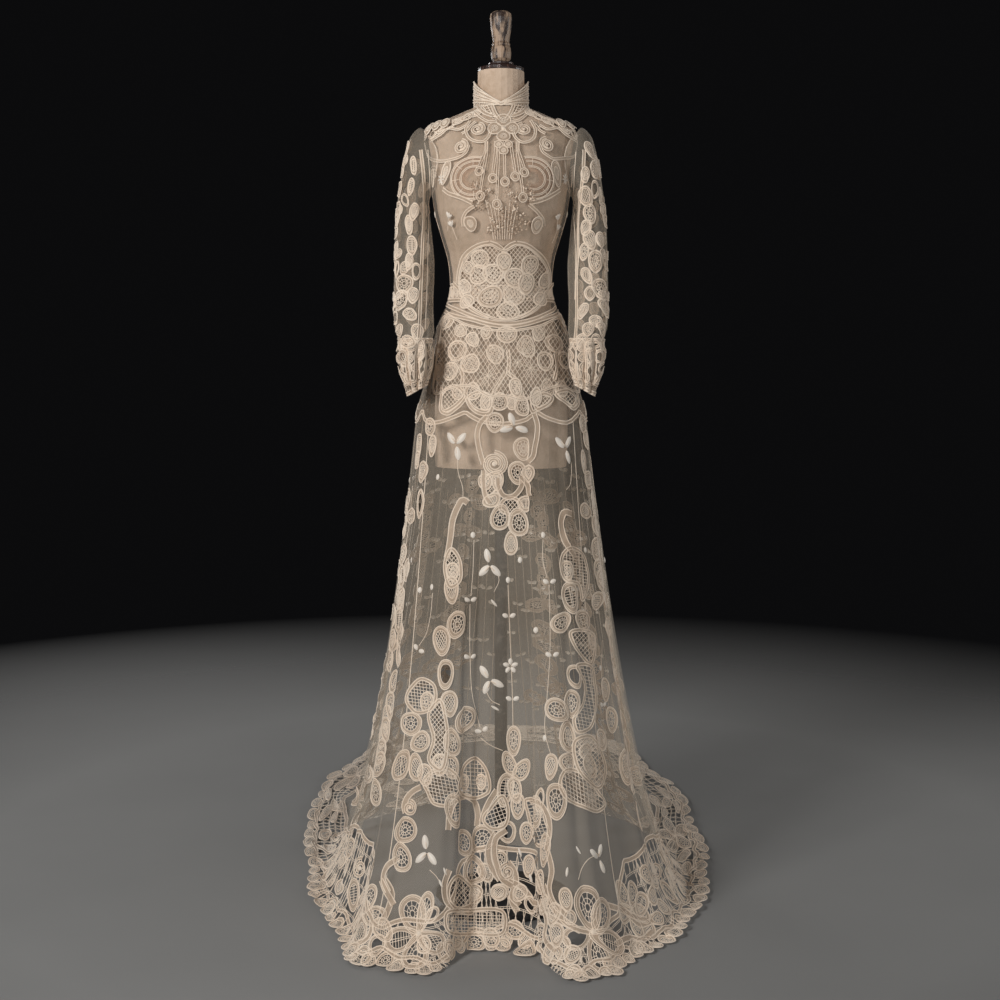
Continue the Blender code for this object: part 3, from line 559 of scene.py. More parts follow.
class Lace:
    """Gathers strips of tape, cord, thread and net, and makes one piece of them."""

    CORD_WIDTH = 0.0024
    CORD_HEIGHT = 0.0015
    THREAD_WIDTH = 0.0013

    def __init__(self, lift: float = 0.0009) -> None:
        """Start an empty piece whose lace lies lift above its chart."""
        self.lift = lift
        self.layer = 0
        self.strips: dict[tuple, list[Points]] = {}
        self.nets: list[tuple[Points, bool, Finish, Points]] = []

    def step(self) -> float:
        """A new height for the next motif, so that motifs that cross don't share a plane."""
        self.layer = (self.layer + 1) % 9
        return self.lift + 0.00016 * self.layer

    def strip(self, finish: Finish, points: Points, facing: Points, closed: bool = False) -> None:
        """Add strips, turned to face outwards.

        Args:
            finish: what they are made of.
            points: (count, rows across, columns along, 3).
            facing: the way the cloth faces at each strip, (count, 3).
            closed: the last column is the first again.
        """
        row, column = (points.shape[1] - 1) // 2, (points.shape[2] - 1) // 2
        corner = points[:, row, column]
        way = np.cross(points[:, row, column + 1] - corner, points[:, row + 1, column] - corner)
        wrong = np.sum(way * facing, -1) < 0
        points = points.copy()
        points[wrong] = points[wrong][:, ::-1]
        self.strips.setdefault((finish, points.shape[1], points.shape[2], closed), []).append(points)

    def cord(self, points: Points, facing: Points, width: float = 0.0, lift: float = 0.0,
             closed: bool = False, finish: Finish = Finish.CORD) -> None:
        """A round-topped cord along a line of points."""
        width = width or self.CORD_WIDTH
        if closed:
            tangent = np.roll(points[:-1], -1, 0) - np.roll(points[:-1], 1, 0)
            tangent = np.vstack((tangent, tangent[:1]))
        else:
            tangent = np.gradient(points, axis=0)
        side = unit(np.cross(facing, tangent)) * width / 2
        base = points + facing * (self.lift + lift)
        ridge = base + facing * self.CORD_HEIGHT * width / self.CORD_WIDTH
        self.strip(finish, np.array((base - side, ridge, base + side))[None], facing[:1], closed)

    def threads(self, starts: tuple[Points, Points], stops: tuple[Points, Points], lift: float = 0.0,
                width: float = 0.0) -> None:
        """Straight threads between pairs of points, each given with its facing."""
        width = (width or self.THREAD_WIDTH) / 2
        ends = np.stack((starts[0], stops[0]), 1) + np.stack((starts[1], stops[1]), 1) * (self.lift + lift)
        facing = unit(starts[1] + stops[1])
        side = unit(np.cross(facing, ends[:, 1] - ends[:, 0]))[:, None] * width
        ridge = ends + facing[:, None] * width
        self.strip(Finish.CORD, np.stack((ends - side, ridge, ends + side), 1), facing)

    def band(self, inner: tuple[Points, Points], outer: tuple[Points, Points], lift: float, crown: float,
             closed: bool, finish: Finish = Finish.TAPE) -> None:
        """A band of tape between two lines, crowned along its middle."""
        low = inner[0] + inner[1] * (self.lift + lift)
        high = outer[0] + outer[1] * (self.lift + lift)
        middle = (low + high) / 2 + unit(inner[1] + outer[1]) * crown
        self.strip(finish, np.array((low, middle, high))[None], outer[1][:1], closed)

    def ring(self, spot: Spot, wide: float, tall: float, filling: Filling = Filling.WHEEL,
             band: float = 0.36, narrow: float = 0.18) -> None:
        """A ring of tape with corded edges and a worked middle, narrower at its foot.

        Args:
            spot: its middle; its tip is up.
            wide: half its width.
            tall: half its height.
            filling: what is worked inside.
            band: the tape's width as a share of the radius.
            narrow: how much narrower the foot is.
        """
        height = self.step()
        steps = 18 if max(wide, tall) < 0.014 else 26
        t = np.linspace(0, math.tau, steps + 1)
        rim = np.stack((wide * np.sin(t) * (1 + narrow * np.cos(t)), tall * np.cos(t)), -1)
        hole = 1 - band
        lines = FILLINGS[filling] * (wide * hole, tall * hole)
        lines[..., 0] *= 1 + narrow * lines[..., 1] / max(tall * hole, 1e-9)
        shift = (0, 0.05 * tall)
        flat = np.concatenate((rim, rim * hole + shift, lines.reshape(-1, 2) + shift))
        points, facing = spot.onto(flat)
        outer = points[:steps + 1], facing[:steps + 1]
        inner = points[steps + 1:2 * steps + 2], facing[steps + 1:2 * steps + 2]
        for edge in (outer, inner):
            edge[0][-1], edge[1][-1] = edge[0][0], edge[1][0]
        self.band(inner, outer, height - self.lift, 0.0006, True)
        self.cord(*outer, lift=height - self.lift, closed=True)
        self.cord(*inner, width=0.0015, lift=height - self.lift, closed=True)
        if max(wide, tall) > 0.015:
            lines_in = spot.onto(rim * (1 - 0.36 * band) + (0, 0.02 * tall))
            lines_in[0][-1], lines_in[1][-1] = lines_in[0][0], lines_in[1][0]
            self.cord(*lines_in, width=0.0012, lift=height - self.lift + 0.0003, closed=True)
        spot.chart.rounds.append((spot.moved(*shift), wide * hole * 1.12, tall * hole * 1.12))
        if len(lines):
            rest_p, rest_n = points[2 * steps + 2:].reshape(-1, 2, 3), facing[2 * steps + 2:].reshape(-1, 2, 3)
            self.threads((rest_p[:, 0], rest_n[:, 0]), (rest_p[:, 1], rest_n[:, 1]), height - self.lift,
                         self.THREAD_WIDTH * min(1.0, 0.3 + 0.7 * max(wide, tall) / 0.018))

    def flower(self, spot: Spot, reach: float, petals: int, fillings: tuple[Filling, ...],
               spread: float = 360.0, start: float = 0.0, plump: float = 0.92) -> None:
        """Rings that share one foot.

        Args:
            spot: where the petals meet.
            reach: from there to a tip.
            petals: how many.
            fillings: theirs in turn.
            spread: degrees that they share.
            start: degrees, anticlockwise from up, of the first petal.
            plump: how much of its room each petal takes.
        """
        for k in range(petals):
            turn = start + spread * k / petals
            wide = min(0.36, math.sin(math.pi / max(petals, 4)) * 0.5) * reach * plump
            way = math.radians(turn)
            foot = spot.moved(-math.sin(way) * reach * 0.53, math.cos(way) * reach * 0.53, turn)
            self.ring(foot, wide, reach * 0.47, fillings[k % len(fillings)])
        self.pad(spot, reach * 0.14, reach * 0.14, 0.0022, Finish.CORD)

    def pad(self, spot: Spot, wide: float, tall: float, height: float = 0.0020,
            finish: Finish = Finish.SATIN) -> None:
        """A raised oval of satin stitch."""
        t = np.linspace(0.015, 0.985, 9)
        v = np.linspace(-1, 1, 5)
        swell = np.sqrt(np.sin(math.pi * t))
        flat = np.stack(np.broadcast_arrays(-v[:, None] * swell * wide / 2, (t - 0.5) * tall), -1)
        points, facing = spot.onto(flat)
        rise = np.sqrt(1 - v ** 2)[:, None] * swell * height
        self.strip(finish, (points + facing * (self.lift + rise[..., None]))[None], facing[:1, 4])

    def tape(self, line: tuple[Points, Points], width: float, finish: Finish = Finish.TAPE,
             closed: bool = False, edges: bool = True) -> None:
        """A tape of even width with corded edges along a line."""
        points, facing = line
        height = self.step() - self.lift
        if closed:
            tangent = np.roll(points[:-1], -1, 0) - np.roll(points[:-1], 1, 0)
            tangent = np.vstack((tangent, tangent[:1]))
        else:
            tangent = np.gradient(points, axis=0)
        side = unit(np.cross(facing, tangent)) * width / 2
        left, right = (points - side, facing), (points + side, facing)
        self.band(left, right, height, 0.0007, closed, finish)
        if edges:
            self.cord(*left, lift=height, closed=closed)
            self.cord(*right, lift=height, closed=closed)

    def scroll(self, spot: Spot, radius: float, turns: float = 1.6, way: int = 1) -> None:
        """A spiral of cord that winds in to a small ring."""
        t = np.linspace(0, 1, 40)
        angle, r = way * math.tau * turns * t, radius * (1 - 0.72 * t)
        line = spot.onto(np.stack((r * np.sin(angle), r * np.cos(angle)), -1))
        self.tape(line, 0.0045)
        self.pad(spot, radius * 0.42, radius * 0.42, 0.0016, Finish.CORD)

    def worked_region(self, chart: Chart, outline: list[Pixel], pitch: float = 3.4,
                      ways: tuple[float, ...] = (52.0, -48.0), edge: float = 0.0052) -> None:
        """A region of crossing threads inside a closed tape, drawn in pixels.

        Args:
            chart: the cloth.
            outline: its corners in the photograph.
            pitch: pixels between threads.
            ways: degrees of each set of threads.
            edge: the tape's width.
        """
        corners = np.array(outline, float)
        following = np.roll(corners, -1, 0)
        lift = self.step() - self.lift
        for way in ways:
            along = np.array((math.cos(math.radians(way)), math.sin(math.radians(way))))
            across = np.array((-along[1], along[0]))
            low, high = np.sort(corners @ across)[[0, -1]]
            starts, stops = [], []
            for level in np.arange(low + pitch / 2, high, pitch):
                a, b = corners @ across - level, following @ across - level
                hit = a * b < 0
                cuts = corners[hit] + (following[hit] - corners[hit]) * (a[hit] / (a[hit] - b[hit]))[:, None]
                cuts = cuts[np.argsort(cuts @ along)]
                for first, last in zip(cuts[0::2], cuts[1::2]):
                    pieces = max(1, round(float(np.linalg.norm(last - first)) / 9))
                    knots = first + (last - first) * np.linspace(0, 1, pieces + 1)[:, None]
                    starts += list(knots[:-1])
                    stops += list(knots[1:])
            if starts:
                self.threads(chart.at(*chart.find(starts)), chart.at(*chart.find(stops)), lift)
        self.tape(chart.trace([tuple(c) for c in corners], 8 * len(corners), closed=True), edge, closed=True)
        p, q = chart.find(corners)
        chart.regions.append(np.stack((np.mod(p - p[0] + 0.5, 1.0) - 0.5 + p[0], q), -1))

    def cluster(self, spot: Spot, radius: float, count: int, seed: int) -> None:
        """A bunch of small raised knots."""
        spread = np.random.default_rng(seed)
        for _ in range(count):
            a, r = spread.uniform(0, math.tau), radius * math.sqrt(spread.uniform(0, 1))
            self.pad(spot.moved(r * math.cos(a), r * math.sin(a)), 0.0040, 0.0040, 0.0026, Finish.TAPE if r > radius * 0.5 else Finish.CORD)

    def ground(self, chart: Chart, p: Points, q: Points, lift: float, finish: Finish = Finish.NET,
               closed: bool = False, cut: bool = True) -> None:
        """A stretch of cloth on a chart, from grids of p and q, cut away behind openwork."""
        points, facing = chart.at(p, q)
        points = points + facing * lift
        if closed:
            points[:, -1] = points[:, 0]
        p, q = np.broadcast_arrays(p, q)
        cells = [(grid[:-1, :-1] + grid[1:, 1:]) / 2 for grid in (p, q)]
        gone = chart.opened(*cells, 0.96) if cut else np.zeros(cells[0].shape, bool)
        row, column = points.shape[0] // 2, points.shape[1] // 2
        way = np.cross(points[row, column + 1] - points[row, column], points[row + 1, column] - points[row, column])
        if way @ facing[row, column] < 0:
            points, gone = points[::-1], gone[::-1]
        self.nets.append((points[None], closed, finish, gone))

    def finish(self, name: str, wardrobe: "Wardrobe", replaces: tuple[str, ...] = (), slot: str = "tape_lace") -> bpy.types.Object:
        """Make the piece.

        Args:
            name: its name.
            wardrobe: the materials.
            replaces: the CAD nodes that it stands for.
            slot: not used.

        Returns:
            The finished object, riding on the part.
        """
        whole = bmesh.new()
        for (finish, rows, columns, closed), parts in self.strips.items():
            sheet = strips_mesh(np.concatenate(parts), closed, finish.value)
            whole.from_mesh(sheet)
            bpy.data.meshes.remove(sheet)
        for points, closed, finish, gone in self.nets:
            sheet = strips_mesh(points, closed, finish.value)
            if gone.any():
                cut_away(sheet, np.flatnonzero(gone))
            whole.from_mesh(sheet)
            bpy.data.meshes.remove(sheet)
        data = bpy.data.meshes.new(name)
        whole.to_mesh(data)
        whole.free()
        data.shade_smooth()
        for material in wardrobe.lace_slots():
            data.materials.append(material)
        return placed(name, data, replaces)


def cut_away(data: bpy.types.Mesh, faces: Points) -> None:
    """Cut faces out of a mesh."""
    cloth = bmesh.new()
    cloth.from_mesh(data)
    cloth.faces.ensure_lookup_table()
    bmesh.ops.delete(cloth, geom=[cloth.faces[i] for i in faces], context="FACES")
    cloth.to_mesh(data)
    cloth.free()


def placed(name: str, data: bpy.types.Mesh, replaces: tuple[str, ...]) -> bpy.types.Object:
    """Link a mesh as a piece that rides on the part and stands for some nodes."""
    made = bpy.data.objects.new(name, data)
    bpy.context.scene.collection.objects.link(made)
    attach(made, "root")
    if replaces:
        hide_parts(*replaces)
    LOG.info("%s: %d faces", name, len(data.polygons))
    return made


def strips_mesh(points: Points, closed: bool, material: int) -> bpy.types.Mesh:
    """Cut one made grid into strips and lay each where it goes.

    Args:
        points: (count, rows, columns, 3).
        closed: join each strip's last column to its first.
        material: the material's slot.

    Returns:
        A mesh with the UV map weave, in metres along and shares across.
    """
    count, rows, columns = points.shape[:3]
    grid = bmesh.new()
    bmesh.ops.create_grid(grid, x_segments=columns - 1, y_segments=count * rows - 1, size=1.0)
    grid.faces.ensure_lookup_table()
    between = [grid.faces[(k * rows - 1) * (columns - 1) + i] for k in range(1, count) for i in range(columns - 1)]
    bmesh.ops.delete(grid, geom=between, context="FACES")
    data = bpy.data.meshes.new("strips")
    grid.to_mesh(data)
    grid.free()
    data.vertices.foreach_set("co", points.reshape(-1).astype(np.float32))
    data.polygons.foreach_set("material_index", np.full(len(data.polygons), material, np.int32))
    steps = np.linalg.norm(np.diff(points, axis=2), axis=-1).mean(axis=1)
    along = np.concatenate((np.zeros((count, 1)), np.cumsum(steps, axis=1)), 1)
    widths = np.linalg.norm(np.diff(points, axis=1), axis=-1).mean(axis=2)
    across = np.concatenate((np.zeros((count, 1)), np.cumsum(widths, axis=1)), 1)
    uv = np.stack(np.broadcast_arrays(along[:, None, :], across[:, :, None]), -1).reshape(-1, 2)
    corners = np.empty(len(data.loops), np.int32)
    data.loops.foreach_get("vertex_index", corners)
    data.uv_layers.new(name="weave").uv.foreach_set("vector", uv[corners].reshape(-1).astype(np.float32))
    if not closed:
        return data
    ring = bmesh.new()
    ring.from_mesh(data)
    ring.verts.ensure_lookup_table()
    ends = {ring.verts[r * columns + columns - 1]: ring.verts[r * columns] for r in range(count * rows)}
    bmesh.ops.weld_verts(ring, targetmap=ends)
    ring.to_mesh(data)
    ring.free()
    return data


# ---------------------------------------------------------------- finishes


class Nodes:
    """Short calls for placing and joining the nodes of one tree."""

    def __init__(self, tree: bpy.types.NodeTree) -> None:
        """Work on a node tree."""
        self.tree = tree

    def add(self, kind: str, links: dict | None = None, **values: object) -> bpy.types.Node:
        """Place a node.

        Args:
            kind: its bl_idname.
            links: what feeds each input, by name or number: a socket, or a plain value.
            values: its properties.

        Returns:
            The node.
        """
        node = self.tree.nodes.new(kind)
        for name, value in values.items():
            setattr(node, name, value)
        for name, source in (links or {}).items():
            socket = node.inputs[name]
            if isinstance(source, bpy.types.NodeSocket):
                self.tree.links.new(source, socket)
            else:
                socket.default_value = source
        return node

    def math(self, operation: str, first: object, second: object = 0.5, third: object = 0.5) -> bpy.types.NodeSocket:
        """The result of a Math node."""
        return self.add("ShaderNodeMath", {0: first, 1: second, 2: third}, operation=operation).outputs[0]

    def mix(self, factor: object, first: object, second: object) -> bpy.types.NodeSocket:
        """A colour between two colours."""
        node = self.add("ShaderNodeMix", {0: factor, 6: first, 7: second}, data_type="RGBA")
        return node.outputs[2]

    def spread(self, value: object, low: float, high: float, to_low: float = 0.0, to_high: float = 1.0) -> bpy.types.NodeSocket:
        """A value read from one range into another, held at its ends."""
        return self.add("ShaderNodeMapRange", {0: value, 1: low, 2: high, 3: to_low, 4: to_high}).outputs[0]


def colour(red: float, green: float, blue: float) -> tuple[float, float, float, float]:
    """A colour with its alpha."""
    return red, green, blue, 1.0


def group_of(name: str, inputs: dict[str, tuple[str, object]], outputs: dict[str, str]) -> tuple:
    """A new shader node group.

    Args:
        name: its name.
        inputs: socket type and first value by name.
        outputs: socket type by name.

    Returns:
        The tree, its Nodes, its input node and its output node.
    """
    tree = bpy.data.node_groups.new(name, "ShaderNodeTree")
    for label, (kind, value) in inputs.items():
        tree.interface.new_socket(label, in_out="INPUT", socket_type=kind).default_value = value
    for label, kind in outputs.items():
        tree.interface.new_socket(label, in_out="OUTPUT", socket_type=kind)
    nodes = Nodes(tree)
    return tree, nodes, nodes.add("NodeGroupInput"), nodes.add("NodeGroupOutput")


FLOAT, COLOUR = "NodeSocketFloat", "NodeSocketColor"


def ageing_group() -> bpy.types.NodeTree:
    """Clean and yellowed cloth in soft patches, with a few darker foxed ones."""
    tree, nodes, into, out = group_of(
        "ageing",
        {"Clean": (COLOUR, colour(0.8, 0.75, 0.6)), "Yellowed": (COLOUR, colour(0.6, 0.5, 0.35)),
         "Scale": (FLOAT, 6.0), "Amount": (FLOAT, 0.6)},
        {"Color": COLOUR, "Mask": FLOAT},
    )
    place = nodes.add("ShaderNodeTexCoord").outputs["Object"]
    broad = nodes.add("ShaderNodeTexNoise", {"Vector": place, "Scale": into.outputs["Scale"], "Detail": 3.0, "Roughness": 0.6})
    fine = nodes.add("ShaderNodeTexNoise", {"Vector": place, "Scale": 95.0, "Detail": 2.0, "Roughness": 0.5})
    patches = nodes.spread(broad.outputs[0], 0.35, 0.68)
    specks = nodes.spread(fine.outputs[0], 0.40, 0.72)
    both = nodes.math("ADD", nodes.math("MULTIPLY", patches, 0.75), nodes.math("MULTIPLY", specks, 0.35))
    mask = nodes.math("MULTIPLY", both, into.outputs["Amount"])
    nodes.tree.links.new(nodes.mix(mask, into.outputs["Clean"], into.outputs["Yellowed"]), out.inputs["Color"])
    nodes.tree.links.new(mask, out.inputs["Mask"])
    return tree


def tulle_group() -> bpy.types.NodeTree:
    """The knotted mesh of the net, from the weave map: a thread mask and its height."""
    tree, nodes, into, out = group_of(
        "tulle", {"Pitch": (FLOAT, 0.0019), "Thread": (FLOAT, 0.30)}, {"Mask": FLOAT, "Height": FLOAT}
    )
    weave = nodes.add("ShaderNodeUVMap", uv_map="weave").outputs[0]
    scale = nodes.math("DIVIDE", 1.0, into.outputs["Pitch"])
    turned = nodes.add("ShaderNodeMapping", {"Vector": weave, "Rotation": (0, 0, math.radians(45))}).outputs[0]
    cells = nodes.add("ShaderNodeTexVoronoi", {"Vector": turned, "Scale": scale, "Randomness": 0.35},
                      feature="DISTANCE_TO_EDGE", voronoi_dimensions="2D")
    line = nodes.math("SUBTRACT", into.outputs["Thread"], cells.outputs["Distance"])
    mask = nodes.spread(line, 0.0, 0.14)
    nodes.tree.links.new(mask, out.inputs["Mask"])
    nodes.tree.links.new(mask, out.inputs["Height"])
    return tree


def tape_group() -> bpy.types.NodeTree:
    """Woven tape, from the weave map: fine ribs across it and threads along it."""
    tree, nodes, into, out = group_of(
        "tape_weave", {"Rib": (FLOAT, 0.0011), "Warp": (FLOAT, 0.0006)}, {"Height": FLOAT, "Gaps": FLOAT}
    )
    weave = nodes.add("ShaderNodeUVMap", uv_map="weave").outputs[0]
    parts = nodes.add("ShaderNodeSeparateXYZ", {0: weave})
    rib = nodes.math("SINE", nodes.math("DIVIDE", nodes.math("MULTIPLY", parts.outputs[0], math.tau), into.outputs["Rib"]))
    warp = nodes.math("SINE", nodes.math("DIVIDE", nodes.math("MULTIPLY", parts.outputs[1], math.tau), into.outputs["Warp"]))
    height = nodes.spread(nodes.math("ADD", rib, nodes.math("MULTIPLY", warp, 0.6)), -1.6, 1.6)
    nodes.tree.links.new(height, out.inputs["Height"])
    nodes.tree.links.new(nodes.spread(height, 0.10, 0.45), out.inputs["Gaps"])
    return tree


def twist_group() -> bpy.types.NodeTree:
    """The slanted strands of a twisted cord, from the weave map."""
    tree, nodes, into, out = group_of("cord_twist", {"Lay": (FLOAT, 0.0022)}, {"Height": FLOAT})
    weave = nodes.add("ShaderNodeUVMap", uv_map="weave").outputs[0]
    parts = nodes.add("ShaderNodeSeparateXYZ", {0: weave})
    slant = nodes.math("ADD", parts.outputs[0], nodes.math("MULTIPLY", parts.outputs[1], 0.8))
    wave = nodes.math("SINE", nodes.math("DIVIDE", nodes.math("MULTIPLY", slant, math.tau), into.outputs["Lay"]))
    nodes.tree.links.new(nodes.spread(wave, -1.0, 1.0), out.inputs["Height"])
    return tree


def fabric_group() -> bpy.types.NodeTree:
    """Plain woven linen on Object coordinates."""
    tree, nodes, into, out = group_of("linen", {"Pitch": (FLOAT, 0.0016)}, {"Height": FLOAT})
    place = nodes.add("ShaderNodeTexCoord").outputs["Object"]
    parts = nodes.add("ShaderNodeSeparateXYZ", {0: place})
    turn = nodes.math("DIVIDE", math.tau, into.outputs["Pitch"])
    level = nodes.math("SINE", nodes.math("MULTIPLY", parts.outputs[2], turn))
    round_it = nodes.math("MULTIPLY", nodes.math("ADD", parts.outputs[0], nodes.math("MULTIPLY", parts.outputs[1], 0.7)), turn)
    noise = nodes.add("ShaderNodeTexNoise", {"Vector": place, "Scale": 420.0, "Detail": 2.0}).outputs[0]
    weave = nodes.math("MULTIPLY", nodes.math("MULTIPLY", level, nodes.math("SINE", round_it)), 0.5)
    nodes.tree.links.new(nodes.spread(nodes.math("ADD", weave, noise), -0.2, 1.2), out.inputs["Height"])
    return tree


class Wardrobe:
    """All the finishes of the dress and the form, made once."""

    def __init__(self) -> None:
        """Make the shared groups and the materials."""
        self.ageing, self.tulle, self.tape_weave = ageing_group(), tulle_group(), tape_group()
        self.twist, self.linen = twist_group(), fabric_group()
        self.tape = self.cloth("tape_lace_finish", colour(0.72, 0.56, 0.42), colour(0.50, 0.36, 0.25), self.tape_weave, 0.78, 0.35, alpha=(0.38, 0.82))
        self.cord = self.cloth("cord_finish", colour(0.95, 0.81, 0.66), colour(0.78, 0.60, 0.45), self.twist, 0.62, 0.35)
        self.satin = self.cloth("satin_stitch_finish", colour(0.93, 0.85, 0.75), colour(0.82, 0.70, 0.58), self.twist, 0.38, 0.25)
        self.net = self.cloth("net_finish", colour(0.63, 0.54, 0.43), colour(0.49, 0.40, 0.30), self.tulle, 0.7, 0.2, alpha=(0.05, 0.36))
        self.blush = self.cloth("blush_tulle_finish", colour(0.70, 0.48, 0.34), colour(0.60, 0.38, 0.25), self.tulle, 0.7, 0.2, alpha=(0.12, 0.42))

    def lace_slots(self) -> tuple[bpy.types.Material, ...]:
        """The materials in the order of Finish."""
        return self.tape, self.cord, self.satin, self.net, self.blush

    def shader(self, name: str) -> tuple[bpy.types.Material, Nodes, bpy.types.Node]:
        """A new material, its nodes and its Principled BSDF."""
        material = bpy.data.materials.new(name)
        material.use_nodes = True
        return material, Nodes(material.node_tree), material.node_tree.nodes["Principled BSDF"]

    def bump(self, nodes: Nodes, shader: bpy.types.Node, height: bpy.types.NodeSocket, depth: float, strength: float) -> None:
        """Feed the shader's normal from a height."""
        bump = nodes.add("ShaderNodeBump", {"Height": height, "Strength": strength, "Distance": depth})
        nodes.tree.links.new(bump.outputs[0], shader.inputs["Normal"])

    def aged(self, nodes: Nodes, clean: tuple, yellowed: tuple, scale: float = 6.0, amount: float = 0.7) -> bpy.types.Node:
        """Place the ageing group."""
        node = nodes.add("ShaderNodeGroup", node_tree=self.ageing)
        node.inputs["Clean"].default_value, node.inputs["Yellowed"].default_value = clean, yellowed
        node.inputs["Scale"].default_value, node.inputs["Amount"].default_value = scale, amount
        return node

    def cloth(self, name: str, clean: tuple, yellowed: tuple, weave: bpy.types.NodeTree, rough: float,
              strength: float, alpha: tuple[float, float] | None = None) -> bpy.types.Material:
        """A woven or twisted finish.

        Args:
            name: the material's name.
            clean: its colour where clean.
            yellowed: its colour where aged.
            weave: the group that gives its height.
            rough: its roughness.
            strength: of the bump.
            alpha: how much shows between its threads and on them, if it is sheer.

        Returns:
            The material.
        """
        material, nodes, shader = self.shader(name)
        tint = self.aged(nodes, clean, yellowed)
        nodes.tree.links.new(tint.outputs["Color"], shader.inputs["Base Color"])
        pattern = nodes.add("ShaderNodeGroup", node_tree=weave)
        self.bump(nodes, shader, pattern.outputs["Height"], 0.0004, strength)
        nodes.tree.links.new(nodes.spread(tint.outputs["Mask"], 0.0, 1.0, rough - 0.06, rough + 0.08), shader.inputs["Roughness"])
        shader.inputs["Sheen Weight"].default_value = 0.25
        shader.inputs["Sheen Roughness"].default_value = 0.5
        shader.inputs["Specular IOR Level"].default_value = 0.3
        if alpha:
            mask = pattern.outputs["Mask"] if "Mask" in pattern.outputs else pattern.outputs["Gaps"]
            nodes.tree.links.new(nodes.spread(mask, 0.0, 1.0, *alpha), shader.inputs["Alpha"])
        return material

    def canvas(self) -> bpy.types.Material:
        """The form's beige linen, stained with age."""
        material, nodes, shader = self.shader("canvas_finish")
        tint = self.aged(nodes, colour(0.80, 0.61, 0.46), colour(0.52, 0.37, 0.25), 11.0, 0.95)
        nodes.tree.links.new(tint.outputs["Color"], shader.inputs["Base Color"])
        linen = nodes.add("ShaderNodeGroup", node_tree=self.linen)
        self.bump(nodes, shader, linen.outputs["Height"], 0.0006, 0.5)
        nodes.tree.links.new(nodes.spread(tint.outputs["Mask"], 0.0, 1.0, 0.72, 0.9), shader.inputs["Roughness"])
        return material

    def wood(self, name: str, bare: tuple, paint: tuple, worn: tuple[float, float], rough: tuple[float, float], coat: float) -> bpy.types.Material:
        """Turned wood under worn paint or lacquer.

        Args:
            name: the material's name.
            bare: the wood's colour.
            paint: the colour over it.
            worn: the noise values between which the paint goes.
            rough: roughness of paint and wood.
            coat: weight of its lacquer.

        Returns:
            The material.
        """
        material, nodes, shader = self.shader(name)
        place = nodes.add("ShaderNodeTexCoord").outputs["Object"]
        long_ways = nodes.add("ShaderNodeMapping", {"Vector": place, "Scale": (1.0, 1.0, 0.22)}).outputs[0]
        grain = nodes.add("ShaderNodeTexNoise", {"Vector": long_ways, "Scale": 260.0, "Detail": 4.0, "Distortion": 0.6}).outputs[0]
        chips = nodes.add("ShaderNodeTexNoise", {"Vector": long_ways, "Scale": 85.0, "Detail": 5.0, "Roughness": 0.7}).outputs[0]
        mask = nodes.spread(chips, *worn)
        dark = tuple(c * 0.55 for c in bare[:3]) + (1.0,)
        nodes.tree.links.new(nodes.mix(mask, paint, nodes.mix(grain, dark, bare)), shader.inputs["Base Color"])
        nodes.tree.links.new(nodes.spread(mask, 0.0, 1.0, *rough), shader.inputs["Roughness"])
        shader.inputs["Coat Weight"].default_value = coat
        shader.inputs["Coat Roughness"].default_value = 0.32
        self.bump(nodes, shader, nodes.math("SUBTRACT", nodes.math("MULTIPLY", grain, 0.4), mask), 0.0006, 0.5)
        return material

    def iron(self) -> bpy.types.Material:
        """Black japanned iron, rubbed at random."""
        material, nodes, shader = self.shader("iron_finish")
        place = nodes.add("ShaderNodeTexCoord").outputs["Object"]
        noise = nodes.add("ShaderNodeTexNoise", {"Vector": place, "Scale": 60.0, "Detail": 5.0}).outputs[0]
        rubbed = nodes.spread(noise, 0.52, 0.75)
        nodes.tree.links.new(nodes.mix(rubbed, colour(0.03, 0.03, 0.032), colour(0.22, 0.20, 0.18)), shader.inputs["Base Color"])
        nodes.tree.links.new(nodes.spread(rubbed, 0.0, 1.0, 0.38, 0.55), shader.inputs["Roughness"])
        nodes.tree.links.new(nodes.spread(rubbed, 0.0, 1.0, 0.1, 0.9), shader.inputs["Metallic"])
        self.bump(nodes, shader, noise, 0.0008, 0.3)
        return material


# ---------------------------------------------------------------- the dress


